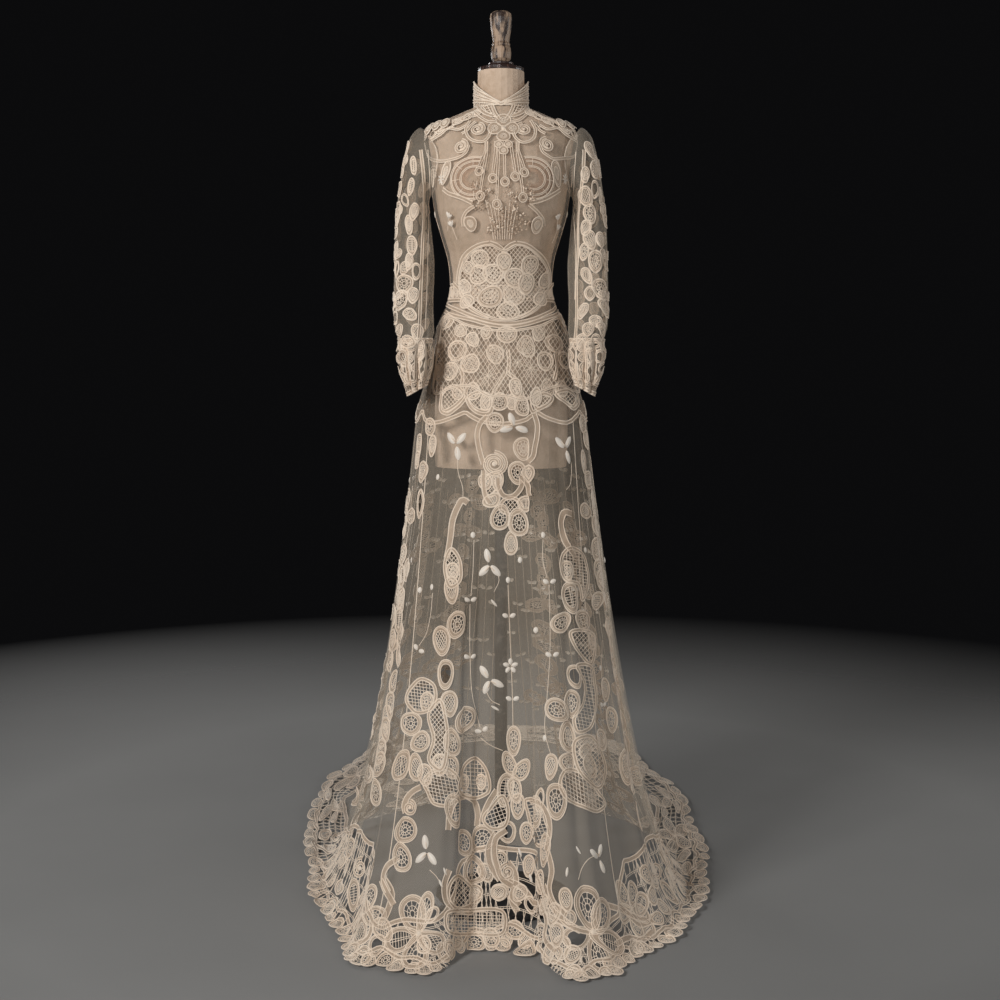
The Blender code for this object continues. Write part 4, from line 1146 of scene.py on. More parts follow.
@dataclass
class Bodice:
    """The net bodice, its collar and the lace laid on them."""

    wardrobe: Wardrobe
    body: Chart
    collar: Chart
    net_lift: float = 0.0007
    columns: int = 96
    rows: int = 84
    collar_top: float = 1.643
    collar_dip: float = 0.0485
    collar_dip_span: float = 82 / 360

    RINGS = (
        (446, 173, 5.5, 12, -18, T), (556, 174, 6, 13, 8, T), (573, 178, 4.5, 11, -6, O), (434, 178, 4, 9, -10, O),
    )
    DROPS = ((471, 223.5, 6.6, 7.6, 0, T), (536.5, 225, 6.2, 8.6, 0, T))
    ENDS = (
        (479.5, 171.5), (493, 178.5), (505, 182), (515, 177), (524, 173), (480.7, 196), (497, 204), (522.6, 197.5),
    )
    BUNCHES = (
        (476, 184), (481, 194), (494, 219), (511, 193), (526, 188), (521, 214), (512.5, 209), (500, 226), (487, 204),
        (499, 209), (516, 200), (530, 196), (489, 190), (506, 222), (478, 204), (524, 224), (491, 229), (514, 230),
    )

    def net_grid(self, middle: float) -> tuple[Points, Points]:
        """p and q of the front or back piece, which follows the armholes."""
        heights = np.concatenate(((1.250, 1.290, 1.330, 1.370, 1.400), ARMHOLE[:, 0], (1.563, 1.579, 1.593)))
        spans = np.concatenate((np.full(5, 90.0), ARMHOLE[:, 1], np.full(3, 90.0)))
        level = np.interp(np.linspace(0, 1, self.rows), np.linspace(0, 1, len(heights)), heights[::-1])
        span = np.interp(level, heights, spans) / 360
        p = middle + span[:, None] * np.linspace(-1, 1, self.columns)
        return p, np.broadcast_to(-level[:, None], p.shape)

    def net(self) -> None:
        """The front and back net, sewn at the shoulders and sides."""
        for label, middle, flat in (("front", 0.0, (0.47, 0.40)), ("back", 0.5, (0.40, 0.40))):
            lace = Lace()
            p, q = self.net_grid(middle)
            lace.ground(self.body, p, q, self.net_lift)
            for edge in (0, -1):
                lace.cord(*self.body.at(p[:, edge], q[:, edge]), width=0.0022)
            if middle:
                self.back_opening(lace)
            made = lace.finish(f"net_bodice_{label}", self.wardrobe, (f"bodice_{label}",), "net_cloth")

    def back_opening(self, lace: Lace) -> None:
        """The covered buttons of the back opening and the sprigs beside it."""
        heights = np.linspace(1.575, 1.262, 40)
        lace.tape(self.body.at(np.full(40, 0.5), -heights), 0.012)
        for height in np.arange(1.57, 1.26, -0.022):
            lace.pad(Spot(self.body, 0.5, -height), 0.007, 0.007, 0.0035)
        for side in (-1, 1):
            for height, away in ((1.53, 0.09), (1.47, 0.15), (1.40, 0.08), (1.33, 0.14), (1.28, 0.06)):
                spot = Spot(self.body, 0.5 + side * away, -height, side * 25)
                lace.flower(spot, 0.024, 3, (W, T), 360, 15)

    def stand_collar(self) -> None:
        """The collar of diagonal insertions, with the V of its front."""
        lace = Lace()
        p = np.linspace(-0.5, 0.5, 97)
        top = self.collar_top - self.collar_dip * np.clip(1 - np.abs(p) / self.collar_dip_span, 0, 1)
        shares = np.linspace(0, 1, 9)[:, None]
        q = -(top + (NECKLINE - 0.001 - top) * shares)
        p_grid = np.broadcast_to(p, q.shape)
        lace.ground(self.collar, p_grid, q, 0.0, Finish.NET, closed=True)
        lace.cord(*self.collar.at(p, q[0]), width=0.0026, closed=True)
        lace.cord(*self.collar.at(p, q[-1]), width=0.0024, closed=True)
        for share, width in ((0.22, 0.0046), (0.48, 0.0040), (0.74, 0.0046)):
            level = -(top + (NECKLINE - top) * share)
            lace.tape(self.collar.at(p[:-1], level[:-1]), width)
        for k in range(72):
            start = -0.5 + k / 72
            here = np.interp((start, start + 0.011), p, -q[0])
            low = here + (NECKLINE - here) * 0.98
            lace.threads(self.collar.at(np.array([start]), -here[:1]), self.collar.at(np.array([start + 0.011]), -low[1:]))
        lace.finish("collar_lace", self.wardrobe, ("stand_collar",))

    def neck(self) -> None:
        """The quatrefoil with its pendant tip, the scrolls and the chevrons round it."""
        lace = Lace(0.0024)
        for x, y, wide, tall, turn in (
            (503.5, 121, 7.5, 7.5, 0), (495, 129, 7.5, 7, 90), (512, 129, 7.5, 7, -90), (503.5, 136.5, 6.5, 6.5, 180),
            (498.5, 145, 4, 4, 200), (508.5, 145, 4, 4, 160), (503.5, 151, 4.5, 5, 180),
        ):
            spot = self.body.spot(x, y, turn)
            lace.ring(spot, wide * spot.pixel, tall * spot.pixel, W, band=0.5)
        lace.pad(self.body.spot(503.5, 129), 0.010, 0.010, 0.003, Finish.CORD)
        lace.finish("neck_medallion_lace", self.wardrobe, ("neck_medallion",))

        lace = Lace(0.0016)
        for x, y, radius, way in ((477.5, 129.5, 7.5, 1), (524, 129.5, 7.5, -1), (461, 147, 7.5, 1), (547, 145, 7.5, -1)):
            spot = self.body.spot(x, y)
            lace.scroll(spot, radius * spot.pixel, 1.5, way)
        lines = (
            [(469, 146), (467, 152), (462, 156.5), (452, 160), (443, 161.5), (434, 160), (428, 155), (424.5, 147)],
            [(540, 146), (542, 152), (547, 156), (552, 159), (562, 158.5), (570, 157.5), (577, 154), (580, 149)],
            [(470, 122), (466, 130), (469, 138), (476, 142), (484, 142), (489, 137), (491, 131)],
            [(531, 122), (535, 130), (534, 138), (529, 142), (522, 143), (516, 139), (513, 133)],
            [(462, 134), (467, 131), (471, 126), (476, 122)], [(545, 134), (540, 131), (536, 126), (530, 121)],
            [(474, 112), (481, 118), (488, 122), (495, 122)], [(530, 110), (524, 117), (518, 121), (511, 122)],
        )
        for line in lines:
            lace.tape(self.body.trace(line, 26), 0.0042)
        for side in (-1, 1):
            for top, foot, width in ((26, 9.5, 0.0062), (20.5, 7.5, 0.0), (15.5, 5.5, 0.0), (10.5, 3.0, 0.0050)):
                line = [(503 + side * top, 106), (503 + side * (top + foot) / 2 + side, 113), (503 + side * foot, 123 - top / 4)]
                if width:
                    lace.tape(self.body.trace(line, 14), width)
                else:
                    lace.cord(*self.body.trace(line, 14), width=0.0020)
            for k in range(7):
                x, y = 503 + side * (24 - 2.2 * k), 107 + 2.0 * k
                lace.cord(*self.body.trace([(x, y), (x - side * 4, y + 0.5), (x - side * 9, y - 1)], 6), width=0.0012)
        for side in (-1, 1):
            for k in range(6):
                spot = Spot(self.body, side * 0.235, -1.540 - 0.0075 * k + 0.0006 * k * k, side * 75)
                lace.ring(spot, 0.0095, 0.015, W if k % 2 else T)
                spot = self.body.spot(503 + side * (70 - 8.5 * k), 134 - 4.0 * k, side * 50)
                lace.ring(spot, 0.0075, 0.013, T if k % 2 else O)
            lace.tape(self.body.trace([(503 + side * x, y) for x, y in ((30, 113), (38, 118), (48, 121), (58, 126), (68, 133))], 20), 0.0042)
            lace.tape(self.body.trace([(503 + side * x, y) for x, y in ((36, 126), (44, 130), (54, 129), (62, 135), (72, 141))], 20), 0.0042)
        for x, y in ((431, 131), (438, 128), (446, 126), (575, 131), (568, 128), (560, 126)):
            spot = self.body.spot(x, y)
            raised = Lace(0.0075)
            raised.ring(spot, 0.009, 0.011, T, band=0.5)
            for key, parts in raised.strips.items():
                lace.strips.setdefault(key, []).extend(parts)
        for x, y, turn in ((453, 227.5, 10), (556, 231, -10), (449, 219, -30), (557, 221, 20), (425, 222, 20), (575, 222, -20)):
            spot = self.body.spot(x, y, turn)
            for way in (-38, 0, 38):
                lace.pad(spot.moved(0.006 * math.sin(-math.radians(way)), 0.008, way), 0.0055, 0.013)
            lace.cord(*spot.onto(np.array([(0, 0.004 - 0.004 * k) for k in range(8)])), width=0.0012)
        lace.finish("bodice_front_scrolls", self.wardrobe)

    def bust(self) -> None:
        """The rounded wings over blush tulle, the hanging cords with ring ends, and the knots."""
        for label, side in (("right", -1), ("left", 1)):
            lace = Lace(0.0022)
            centre = self.body.spot(503 + side * 29, 178)
            sweep = np.radians(np.linspace(-14, 196, 34))
            arc = np.stack((side * np.sin(sweep), np.cos(sweep)), -1)
            shares = np.array((0.014, 0.024, 0.036, 0.049))
            points, facing = centre.onto(arc[None] * shares[:, None, None] * (1, 0.80))
            lace.strip(Finish.BLUSH, (points + facing * 0.0014)[None], facing[:1, 16])
            for radius, width in ((0.026, 0.0018), (0.029, 0.0018), (0.039, 0.0017), (0.042, 0.0017), (0.049, 0.0026), (0.0525, 0.0018)):
                lace.cord(*centre.onto(arc * radius * (1, 0.80)), width=width)
            for k in range(5):
                a = sweep[3 + 7 * k]
                ray = np.array((side * math.sin(a), math.cos(a) * 0.80))
                ends = centre.onto(np.array((ray * (0.031 + 0.002 * (k % 2)), ray * 0.0475)))
                lace.threads((ends[0][:1], ends[1][:1]), (ends[0][1:], ends[1][1:]), 0.0004)
            fan = self.body.spot(503 + side * 66, 190, side * -20)
            for reach in (0.030, 0.036, 0.042, 0.048):
                bend = np.radians(np.linspace(-30, 46, 14))
                lace.cord(*fan.onto(np.stack((side * -reach * np.sin(bend) * 0.7, reach * np.cos(bend)), -1)), width=0.0016)
            for x, y, wide, tall, turn, filling in self.RINGS:
                if (x - 503) * side > 0:
                    spot = self.body.spot(x, y, turn)
                    lace.ring(spot, wide * spot.pixel, tall * spot.pixel, filling, band=0.5)
            flower = self.body.spot(503 + side * 61, 179)
            for k in range(7):
                lace.pad(flower.moved(0, 0, k * 51).moved(0, 0.006), 0.003, 0.010, 0.0016)
            if side < 0:
                edge = [(444, 189), (449, 193), (457, 196), (465, 199), (473, 203)]
                stem = [(475, 206), (470, 209), (466, 213), (463.5, 219), (464, 226)]
            else:
                edge = [(559, 190), (553, 194), (546, 198), (538, 201), (529, 203)]
                stem = [(528, 204), (533, 208), (538, 213), (542, 219), (543, 226)]
            lace.tape(self.body.trace(edge, 18), 0.006)
            lace.tape(self.body.trace(stem, 16), 0.005)
            for x, y, wide, tall, turn, filling in self.DROPS:
                if (x - 503) * side > 0:
                    spot = self.body.spot(x, y, turn)
                    lace.ring(spot, wide * spot.pixel, tall * spot.pixel, filling, band=0.5)
            lace.finish(f"bust_wing_lace_{label}", self.wardrobe, (f"bust_wing_{label}",))
        lace = Lace(0.0024)
        for x, y in self.ENDS:
            top = 503 + (x - 503) * 0.72
            for drift in (-1.1, 1.1):
                line = [(top + drift, 142), (top + drift, 150), ((x + top) / 2 + drift, (y + 146) / 2), (x + drift * 0.8, y - 5)]
                lace.cord(*self.body.trace(line, 14), width=0.0017)
            spot = self.body.spot(x, y)
            lace.ring(spot, 4.3 * spot.pixel, 4.6 * spot.pixel, O, band=0.45, narrow=0.0)
        for k, (x, y) in enumerate(self.BUNCHES):
            lace.cluster(self.body.spot(x, y), 0.012, 13, 40 + k)
        for k in range(9):
            x = 486 + 4 * k
            line = [(x, 200 + 3 * (k % 3)), (503 + (x - 503) * 0.8, 215), (503 + (x - 503) * 0.62, 229), (503 + (x - 503) * 0.55, 239)]
            lace.cord(*self.body.trace(line, 14), width=0.0018)
        lace.finish("bust_tassel_cords", self.wardrobe, ("bust_tassel",))

    def build(self) -> None:
        """Make every piece."""
        self.net()
        self.stand_collar()
        self.neck()
        self.bust()


@dataclass
class Waist:
    """The round waist piece, the band, and the yoke over the hips with its petal edge."""

    wardrobe: Wardrobe
    body: Chart
    skirt: SkirtShape

    ROUND = (
        (481, 259, 9, 9.5, 20, W), (479.5, 275, 10, 9, 60, W), (493.5, 274, 10, 10, 10, W), (529, 265.5, 9, 10.5, -20, W),
        (514, 278, 9.5, 10, 10, W), (525.5, 284, 8, 11, -10, T), (504, 262, 7, 10, 0, T), (491, 297.5, 12.5, 11, 30, W),
        (513, 296, 11, 10, -30, T), (508, 311, 11, 9.5, 180, W), (466, 287, 7, 8, 60, T), (543, 281, 7, 9, -50, T),
        (470, 268, 6, 7, 40, T), (539, 300, 7, 8, -70, T), (468, 302, 7, 8, 100, T),
    )
    YOKE = (
        (457, 351, 10.5, 10.5, 5, O), (450.5, 370.8, 9, 9.5, 130, T), (471.5, 364, 9.5, 10, -70, T),
        (554.6, 344, 9.5, 9.5, 0, O), (545.5, 361, 9.5, 10, 110, O), (563, 360, 8.5, 10, -110, O),
        (507, 335, 10.5, 8.5, 0, W), (495.5, 354, 10, 8, 115, T), (525.5, 346.5, 11, 9, -80, T),
        (458.8, 392, 6.5, 7.5, 160, W), (472.9, 391, 7.5, 9, 185, W), (486, 401.5, 6, 9, 180, T), (499.4, 401.5, 8, 9, 180, W),
        (511.8, 402, 4.5, 8, 180, T), (523.4, 406, 7.5, 10, 185, W), (536, 396.5, 5.5, 9.5, 170, T), (547.5, 387.8, 7.5, 9, 180, W),
        (561.6, 388.5, 7, 8.5, 175, W), (474, 340, 6, 8, 30, T), (538, 334, 7, 8, -30, T), (445.5, 322, 7, 8.5, 10, T),
        (461, 331, 6, 7, 60, T), (563, 320, 6.5, 8, -15, T), (516, 388, 6, 10, 8, L), (485.5, 333, 5.5, 6.5, 0, W),
        (441, 345, 5, 8, 20, T), (574, 350, 5, 8, -20, T), (439, 372, 5, 9, 10, T), (573, 374, 5, 9, -10, T),
    )
    STARS = ((488.6, 376, 12), (531, 368, 12), (555.5, 373.5, 7), (518, 363, 5))

    def round_piece(self) -> None:
        """The round lace over the waist seam, under a pair of arching tapes."""
        lace = Lace(0.0036)
        for x, y, wide, tall, turn, filling in self.ROUND:
            spot = self.body.spot(x, y, turn)
            lace.ring(spot, wide * spot.pixel, tall * spot.pixel, filling, band=0.28)
        arcs = (
            [(459, 284), (461, 268), (465, 256), (473, 248), (482, 243.5), (490, 242)],
            [(548, 284), (547.5, 272), (543, 260), (534, 250), (525, 244), (516, 242)],
            [(490, 242), (497, 244.5), (503, 250), (504, 258)], [(516, 242), (510, 244.5), (505, 250), (504, 258)],
            [(455, 283), (462, 292), (467, 305), (478, 313), (490, 318)],
            [(552, 283), (545, 292), (540, 304), (530, 313), (519, 318)],
        )
        for arc in arcs:
            lace.tape(self.body.trace(arc, 24), 0.0062)
        outline = [(461, 284), (464, 266), (474, 250), (490, 244), (504, 250), (518, 244), (534, 252), (544, 266),
                   (547, 284), (541, 302), (528, 314), (507, 321), (484, 315), (467, 302)]
        lace.worked_region(self.body, outline, 3.2, (50.0, -52.0), 0.003)
        lace.finish("waist_medallion_lace", self.wardrobe, ("waist_medallion",))

    def band(self) -> None:
        """The lace band over the waist seam."""
        lace = Lace(0.0012)
        p = np.linspace(-0.5, 0.5, 181)
        q = -np.linspace(BODICE_HEM, YOKE_TOP, 6)[:, None] + 0 * p
        lace.ground(self.body, np.broadcast_to(p, q.shape), q, 0.0005, Finish.NET, closed=True)
        for height in (BODICE_HEM - 0.002, YOKE_TOP + 0.003):
            lace.tape(self.body.at(p[:-1], np.full(180, -height)), 0.006)
        for k in range(36):
            spot = Spot(self.body, -0.5 + k / 36, -1.2325, 180 * (k % 2))
            lace.ring(spot, 0.0082, 0.0125, T if k % 2 else W)
        lace.finish("waist_band_lace", self.wardrobe, ("waist_band",))

    def yoke(self) -> None:
        """Front and back of the yoke."""
        chart = self.skirt.chart
        top = HIP_LINE - YOKE_TOP
        sides = self.skirt.turn(90), self.skirt.turn(-90)
        for label, start, stop in (("front", sides[1] - 1, sides[0]), ("back", sides[0], sides[1])):
            lace = Lace(0.0010)
            u = np.linspace(start, stop, 121)
            edge = self.skirt.yoke_edge(u)
            q = top + (edge - top) * np.linspace(0, 1, 33)[:, None]
            lace.ground(chart, np.broadcast_to(u, q.shape), q, 0.0004)
            lace.tape(chart.at(u, edge - 0.002), 0.006)
            if label == "front":
                self.yoke_front(lace, chart)
            else:
                self.yoke_back(lace, chart, start, stop)
            made = lace.finish(f"hip_yoke_lace_{label}", self.wardrobe, (f"hip_yoke_{label}",))

    def yoke_front(self, lace: Lace, chart: Chart) -> None:
        """Flowers, star webs and the petals of the lower edge, where the photograph shows them."""
        for x, y, wide, tall, turn, filling in self.YOKE:
            spot = chart.spot(x, y, turn)
            lace.ring(spot, wide * spot.pixel, tall * spot.pixel, filling, band=0.30)
        for x, y, reach in self.STARS:
            spot = chart.spot(x, y)
            for k in range(10):
                a = math.tau * k / 10
                ends = spot.onto(np.array(((0, 0), (math.sin(a), math.cos(a)))) * reach * spot.pixel)
                lace.threads((ends[0][:1], ends[1][:1]), (ends[0][1:], ends[1][1:]), width=0.0013)
            lace.pad(spot, 0.005, 0.005, 0.002, Finish.CORD)
        lines = (
            [(443, 312), (455, 316), (472, 320), (490, 325), (507.5, 327), (524, 325), (541, 320), (556, 315), (565, 312)],
            [(446, 305), (462, 312), (480, 319), (507.5, 323.5), (534, 319), (550, 312), (562, 305)],
            [(443, 385), (442, 398), (442.5, 412), (448, 414), (456, 409), (464, 401), (467, 396)],
            [(466, 393), (468, 402), (474, 410), (482, 414), (490, 413), (493, 405)],
            [(572, 383), (576, 394), (577, 405), (573, 409), (567, 404), (560, 399), (554, 393)],
            [(506, 372), (500, 382), (494, 392), (492, 400)], [(507, 372), (514, 378), (520, 388), (523, 397)],
            [(540, 408), (533, 412), (529, 404)], [(540, 408), (549, 404), (552, 396)],
            [(508, 350), (509, 362), (508, 374)], [(460, 366), (463, 376), (462, 386)], [(554, 354), (556, 366), (554, 380)],
        )
        for line in lines:
            lace.tape(chart.trace(line, 22), 0.0056)
        ground = [(446, 318), (470, 326), (507, 331), (540, 326), (562, 318), (573, 340), (577, 368), (578, 392), (560, 386),
                  (540, 392), (523, 400), (507, 396), (490, 396), (470, 386), (452, 388), (437, 394), (437, 365), (441, 340)]
        lace.worked_region(chart, ground, 3.8, (58.0, -55.0), 0.003)
        lace.worked_region(chart, [(444, 392), (455, 386), (464, 394), (456, 405), (444, 411)], 3.0)
        lace.worked_region(chart, [(468, 398), (480, 392), (491, 398), (487, 411), (476, 409)], 3.0)
        lace.worked_region(chart, [(534, 402), (545, 394), (552, 398), (545, 406), (537, 409)], 3.0)
        lace.worked_region(chart, [(556, 394), (568, 391), (575, 399), (573, 406), (564, 402)], 3.0)

    def yoke_back(self, lace: Lace, chart: Chart, start: float, stop: float) -> None:
        """Flowers and petals round the back, spaced evenly."""
        for k in range(8):
            u = start + (stop - start) * (k + 0.5) / 8
            lace.flower(Spot(chart, u, -0.085 - 0.05 * (k % 2), 12 * (k % 3)), 0.036, 3, (W, T, O))
            lace.ring(Spot(chart, u, -0.170, 180 * (k % 2)), 0.012, 0.018, T)
        for k in range(22):
            u = start + (stop - start) * (k + 0.5) / 22
            edge = float(self.skirt.yoke_edge(np.array(u)))
            lace.ring(Spot(chart, u, edge - 0.016, 180), 0.012, 0.016, W if k % 2 else T)

    def build(self) -> None:
        """Make every piece."""
        self.band()
        self.yoke()
        self.round_piece()


@dataclass
class Sleeves:
    """The two net sleeves with lace down the outer arm, and their cuffs."""

    wardrobe: Wardrobe

    RINGS = {
        -1: (
            (402, 168, 5, 8, -10, W), (411, 187, 4, 9, -15, L), (399, 213, 6.5, 11, 5, W), (396, 232, 5, 7, 0, W),
            (409, 225, 4, 10, 10, T), (412, 246, 5, 10, 0, L), (404.5, 284.5, 10, 10, 0, W), (400.5, 301, 8.5, 11, 20, W),
            (399, 331, 7, 6, 60, T), (417.5, 333, 6, 9.5, 0, T), (403, 357, 7, 10, 15, T), (419, 354, 6, 9, -10, T),
            (396, 318, 5, 8, 30, O), (407, 150, 5, 9, -20, T), (409, 262, 4, 9, 5, T), (414, 166, 4, 9, 10, L), (401, 190, 5, 8, 0, T),
            (405, 200, 4, 7, 30, O), (397, 250, 4, 9, 0, T), (405, 268, 5, 7, -30, W), (413, 296, 5, 9, 0, T), (410, 315, 6, 8, 40, W),
            (398, 270, 4, 9, 10, O), (414, 212, 4, 9, -10, T), (416, 272, 4, 9, 0, O), (409, 342, 6, 7, 60, W),
        ),
        1: (
            (585, 196, 7, 10, 15, T), (590, 214, 6, 10, 10, W), (603, 214, 5, 11, 0, W), (590, 240, 6, 10, 15, T),
            (595, 262, 6.5, 12, -5, W), (601, 290, 9.5, 11.5, -5, W), (604, 309, 6, 10, 10, T), (583, 312, 5, 9, 0, T),
            (596, 341, 7, 6, 80, O), (591, 357, 6, 9, 20, T), (582, 342, 5, 9, 0, T), (590, 150, 5, 9, 20, T),
            (594, 170, 5, 9, 10, W), (586, 228, 5, 8, -10, T), (600, 240, 4.5, 8, 0, T), (602, 330, 5, 8, 0, W), (594, 190, 4, 9, 0, O),
            (600, 196, 4, 9, -10, T), (584, 252, 5, 9, 0, W), (587, 276, 5, 9, 20, T), (604, 262, 4, 8, 0, O), (590, 294, 5, 8, 0, O),
            (596, 322, 6, 8, 40, T), (588, 330, 5, 8, -20, W), (585, 175, 4, 8, 0, T), (604, 346, 4, 7, 0, O),
        ),
    }
    SEAMS = {
        -1: [(421, 150), (423.5, 175), (423, 210), (422, 250), (420.5, 290), (419, 330), (418, 345)],
        1: [(584, 150), (583, 175), (579.5, 210), (578.5, 250), (577, 290), (577, 320), (575, 345)],
    }
    SECOND = {-1: [(428, 150), (430, 180), (428, 230), (427, 280), (425, 330)],
              1: [(576, 152), (574, 180), (575, 230), (576, 262), (575, 300)]}

    def sleeve(self, label: str, side: int) -> None:
        """One sleeve and its cuff."""
        chart = sleeve_chart(side)
        lace = Lace(0.0012)
        p, q = np.meshgrid(np.linspace(0, 1, 97), np.linspace(0, chart.cuff_from, 90))
        lace.ground(chart, p, q, 0.0007, closed=True)
        for x, y, wide, tall, turn, filling in self.RINGS[side]:
            spot = chart.spot(x, y, turn)
            lace.ring(spot, wide * spot.pixel, tall * spot.pixel, filling, band=0.28)
        lace.tape(chart.trace(self.SEAMS[side], 40), 0.0050)
        lace.cord(*chart.trace(self.SECOND[side], 40), width=0.0016)
        spread = np.random.default_rng(11 + side)
        for down in np.arange(0.05, chart.cuff_from - 0.02, 0.034):
            for place in (0.93, 0.80, 0.68):
                spot = Spot(chart, place + spread.uniform(-0.02, 0.02), down + spread.uniform(-0.01, 0.01), spread.uniform(-30, 30))
                lace.ring(spot, 0.010, 0.016, (W, T, L)[int(spread.integers(3))])
        for down in (0.07, 0.15, 0.23, 0.31):
            lace.flower(Spot(chart, 0.06, down, 20), 0.026, 3, (W, T, T), 360, 40)
        made = lace.finish(f"net_sleeve_{label}", self.wardrobe, (f"sleeve_{label}",), "net_cloth")
        self.cuff(chart, label, side)

    def cuff(self, chart: Chart, label: str, side: int) -> None:
        """The bunched lace cuff that ends in a point."""
        lace = Lace(0.0010)
        p, q = np.meshgrid(np.linspace(0, 1, 97), np.linspace(chart.cuff_from, chart.end, 16))
        lace.ground(chart, p, q, 0.0006, closed=True)
        turns = np.linspace(0, 1, 97)
        for down, width in ((chart.cuff_from + 0.004, 0.008), (chart.end - 0.002, 0.006)):
            lace.tape(chart.at(turns, np.full(97, down)), width)
        for row in range(5):
            down = chart.cuff_from + 0.014 + 0.019 * row
            count = 13 - row
            for k in range(count):
                spot = Spot(chart, (k + 0.5 * (row % 2)) / count, min(down, chart.end - 0.008), 180 + 25 * (k % 3 - 1))
                lace.ring(spot, 0.0078, 0.0125, (W, T, O)[(k + row) % 3], band=0.30)
        for k in range(9):
            wave = chart.cuff_from + 0.05 + 0.030 * np.sin(math.tau * (np.linspace(0, 1, 20) + k / 9))
            lace.tape(chart.at(k / 9 + np.linspace(0, 0.09, 20), wave), 0.0052)
        lace.finish(f"cuff_lace_{label}", self.wardrobe, (f"cuff_{label}",))

    def build(self) -> None:
        """Make both."""
        self.sleeve("left", 1)
        self.sleeve("right", -1)


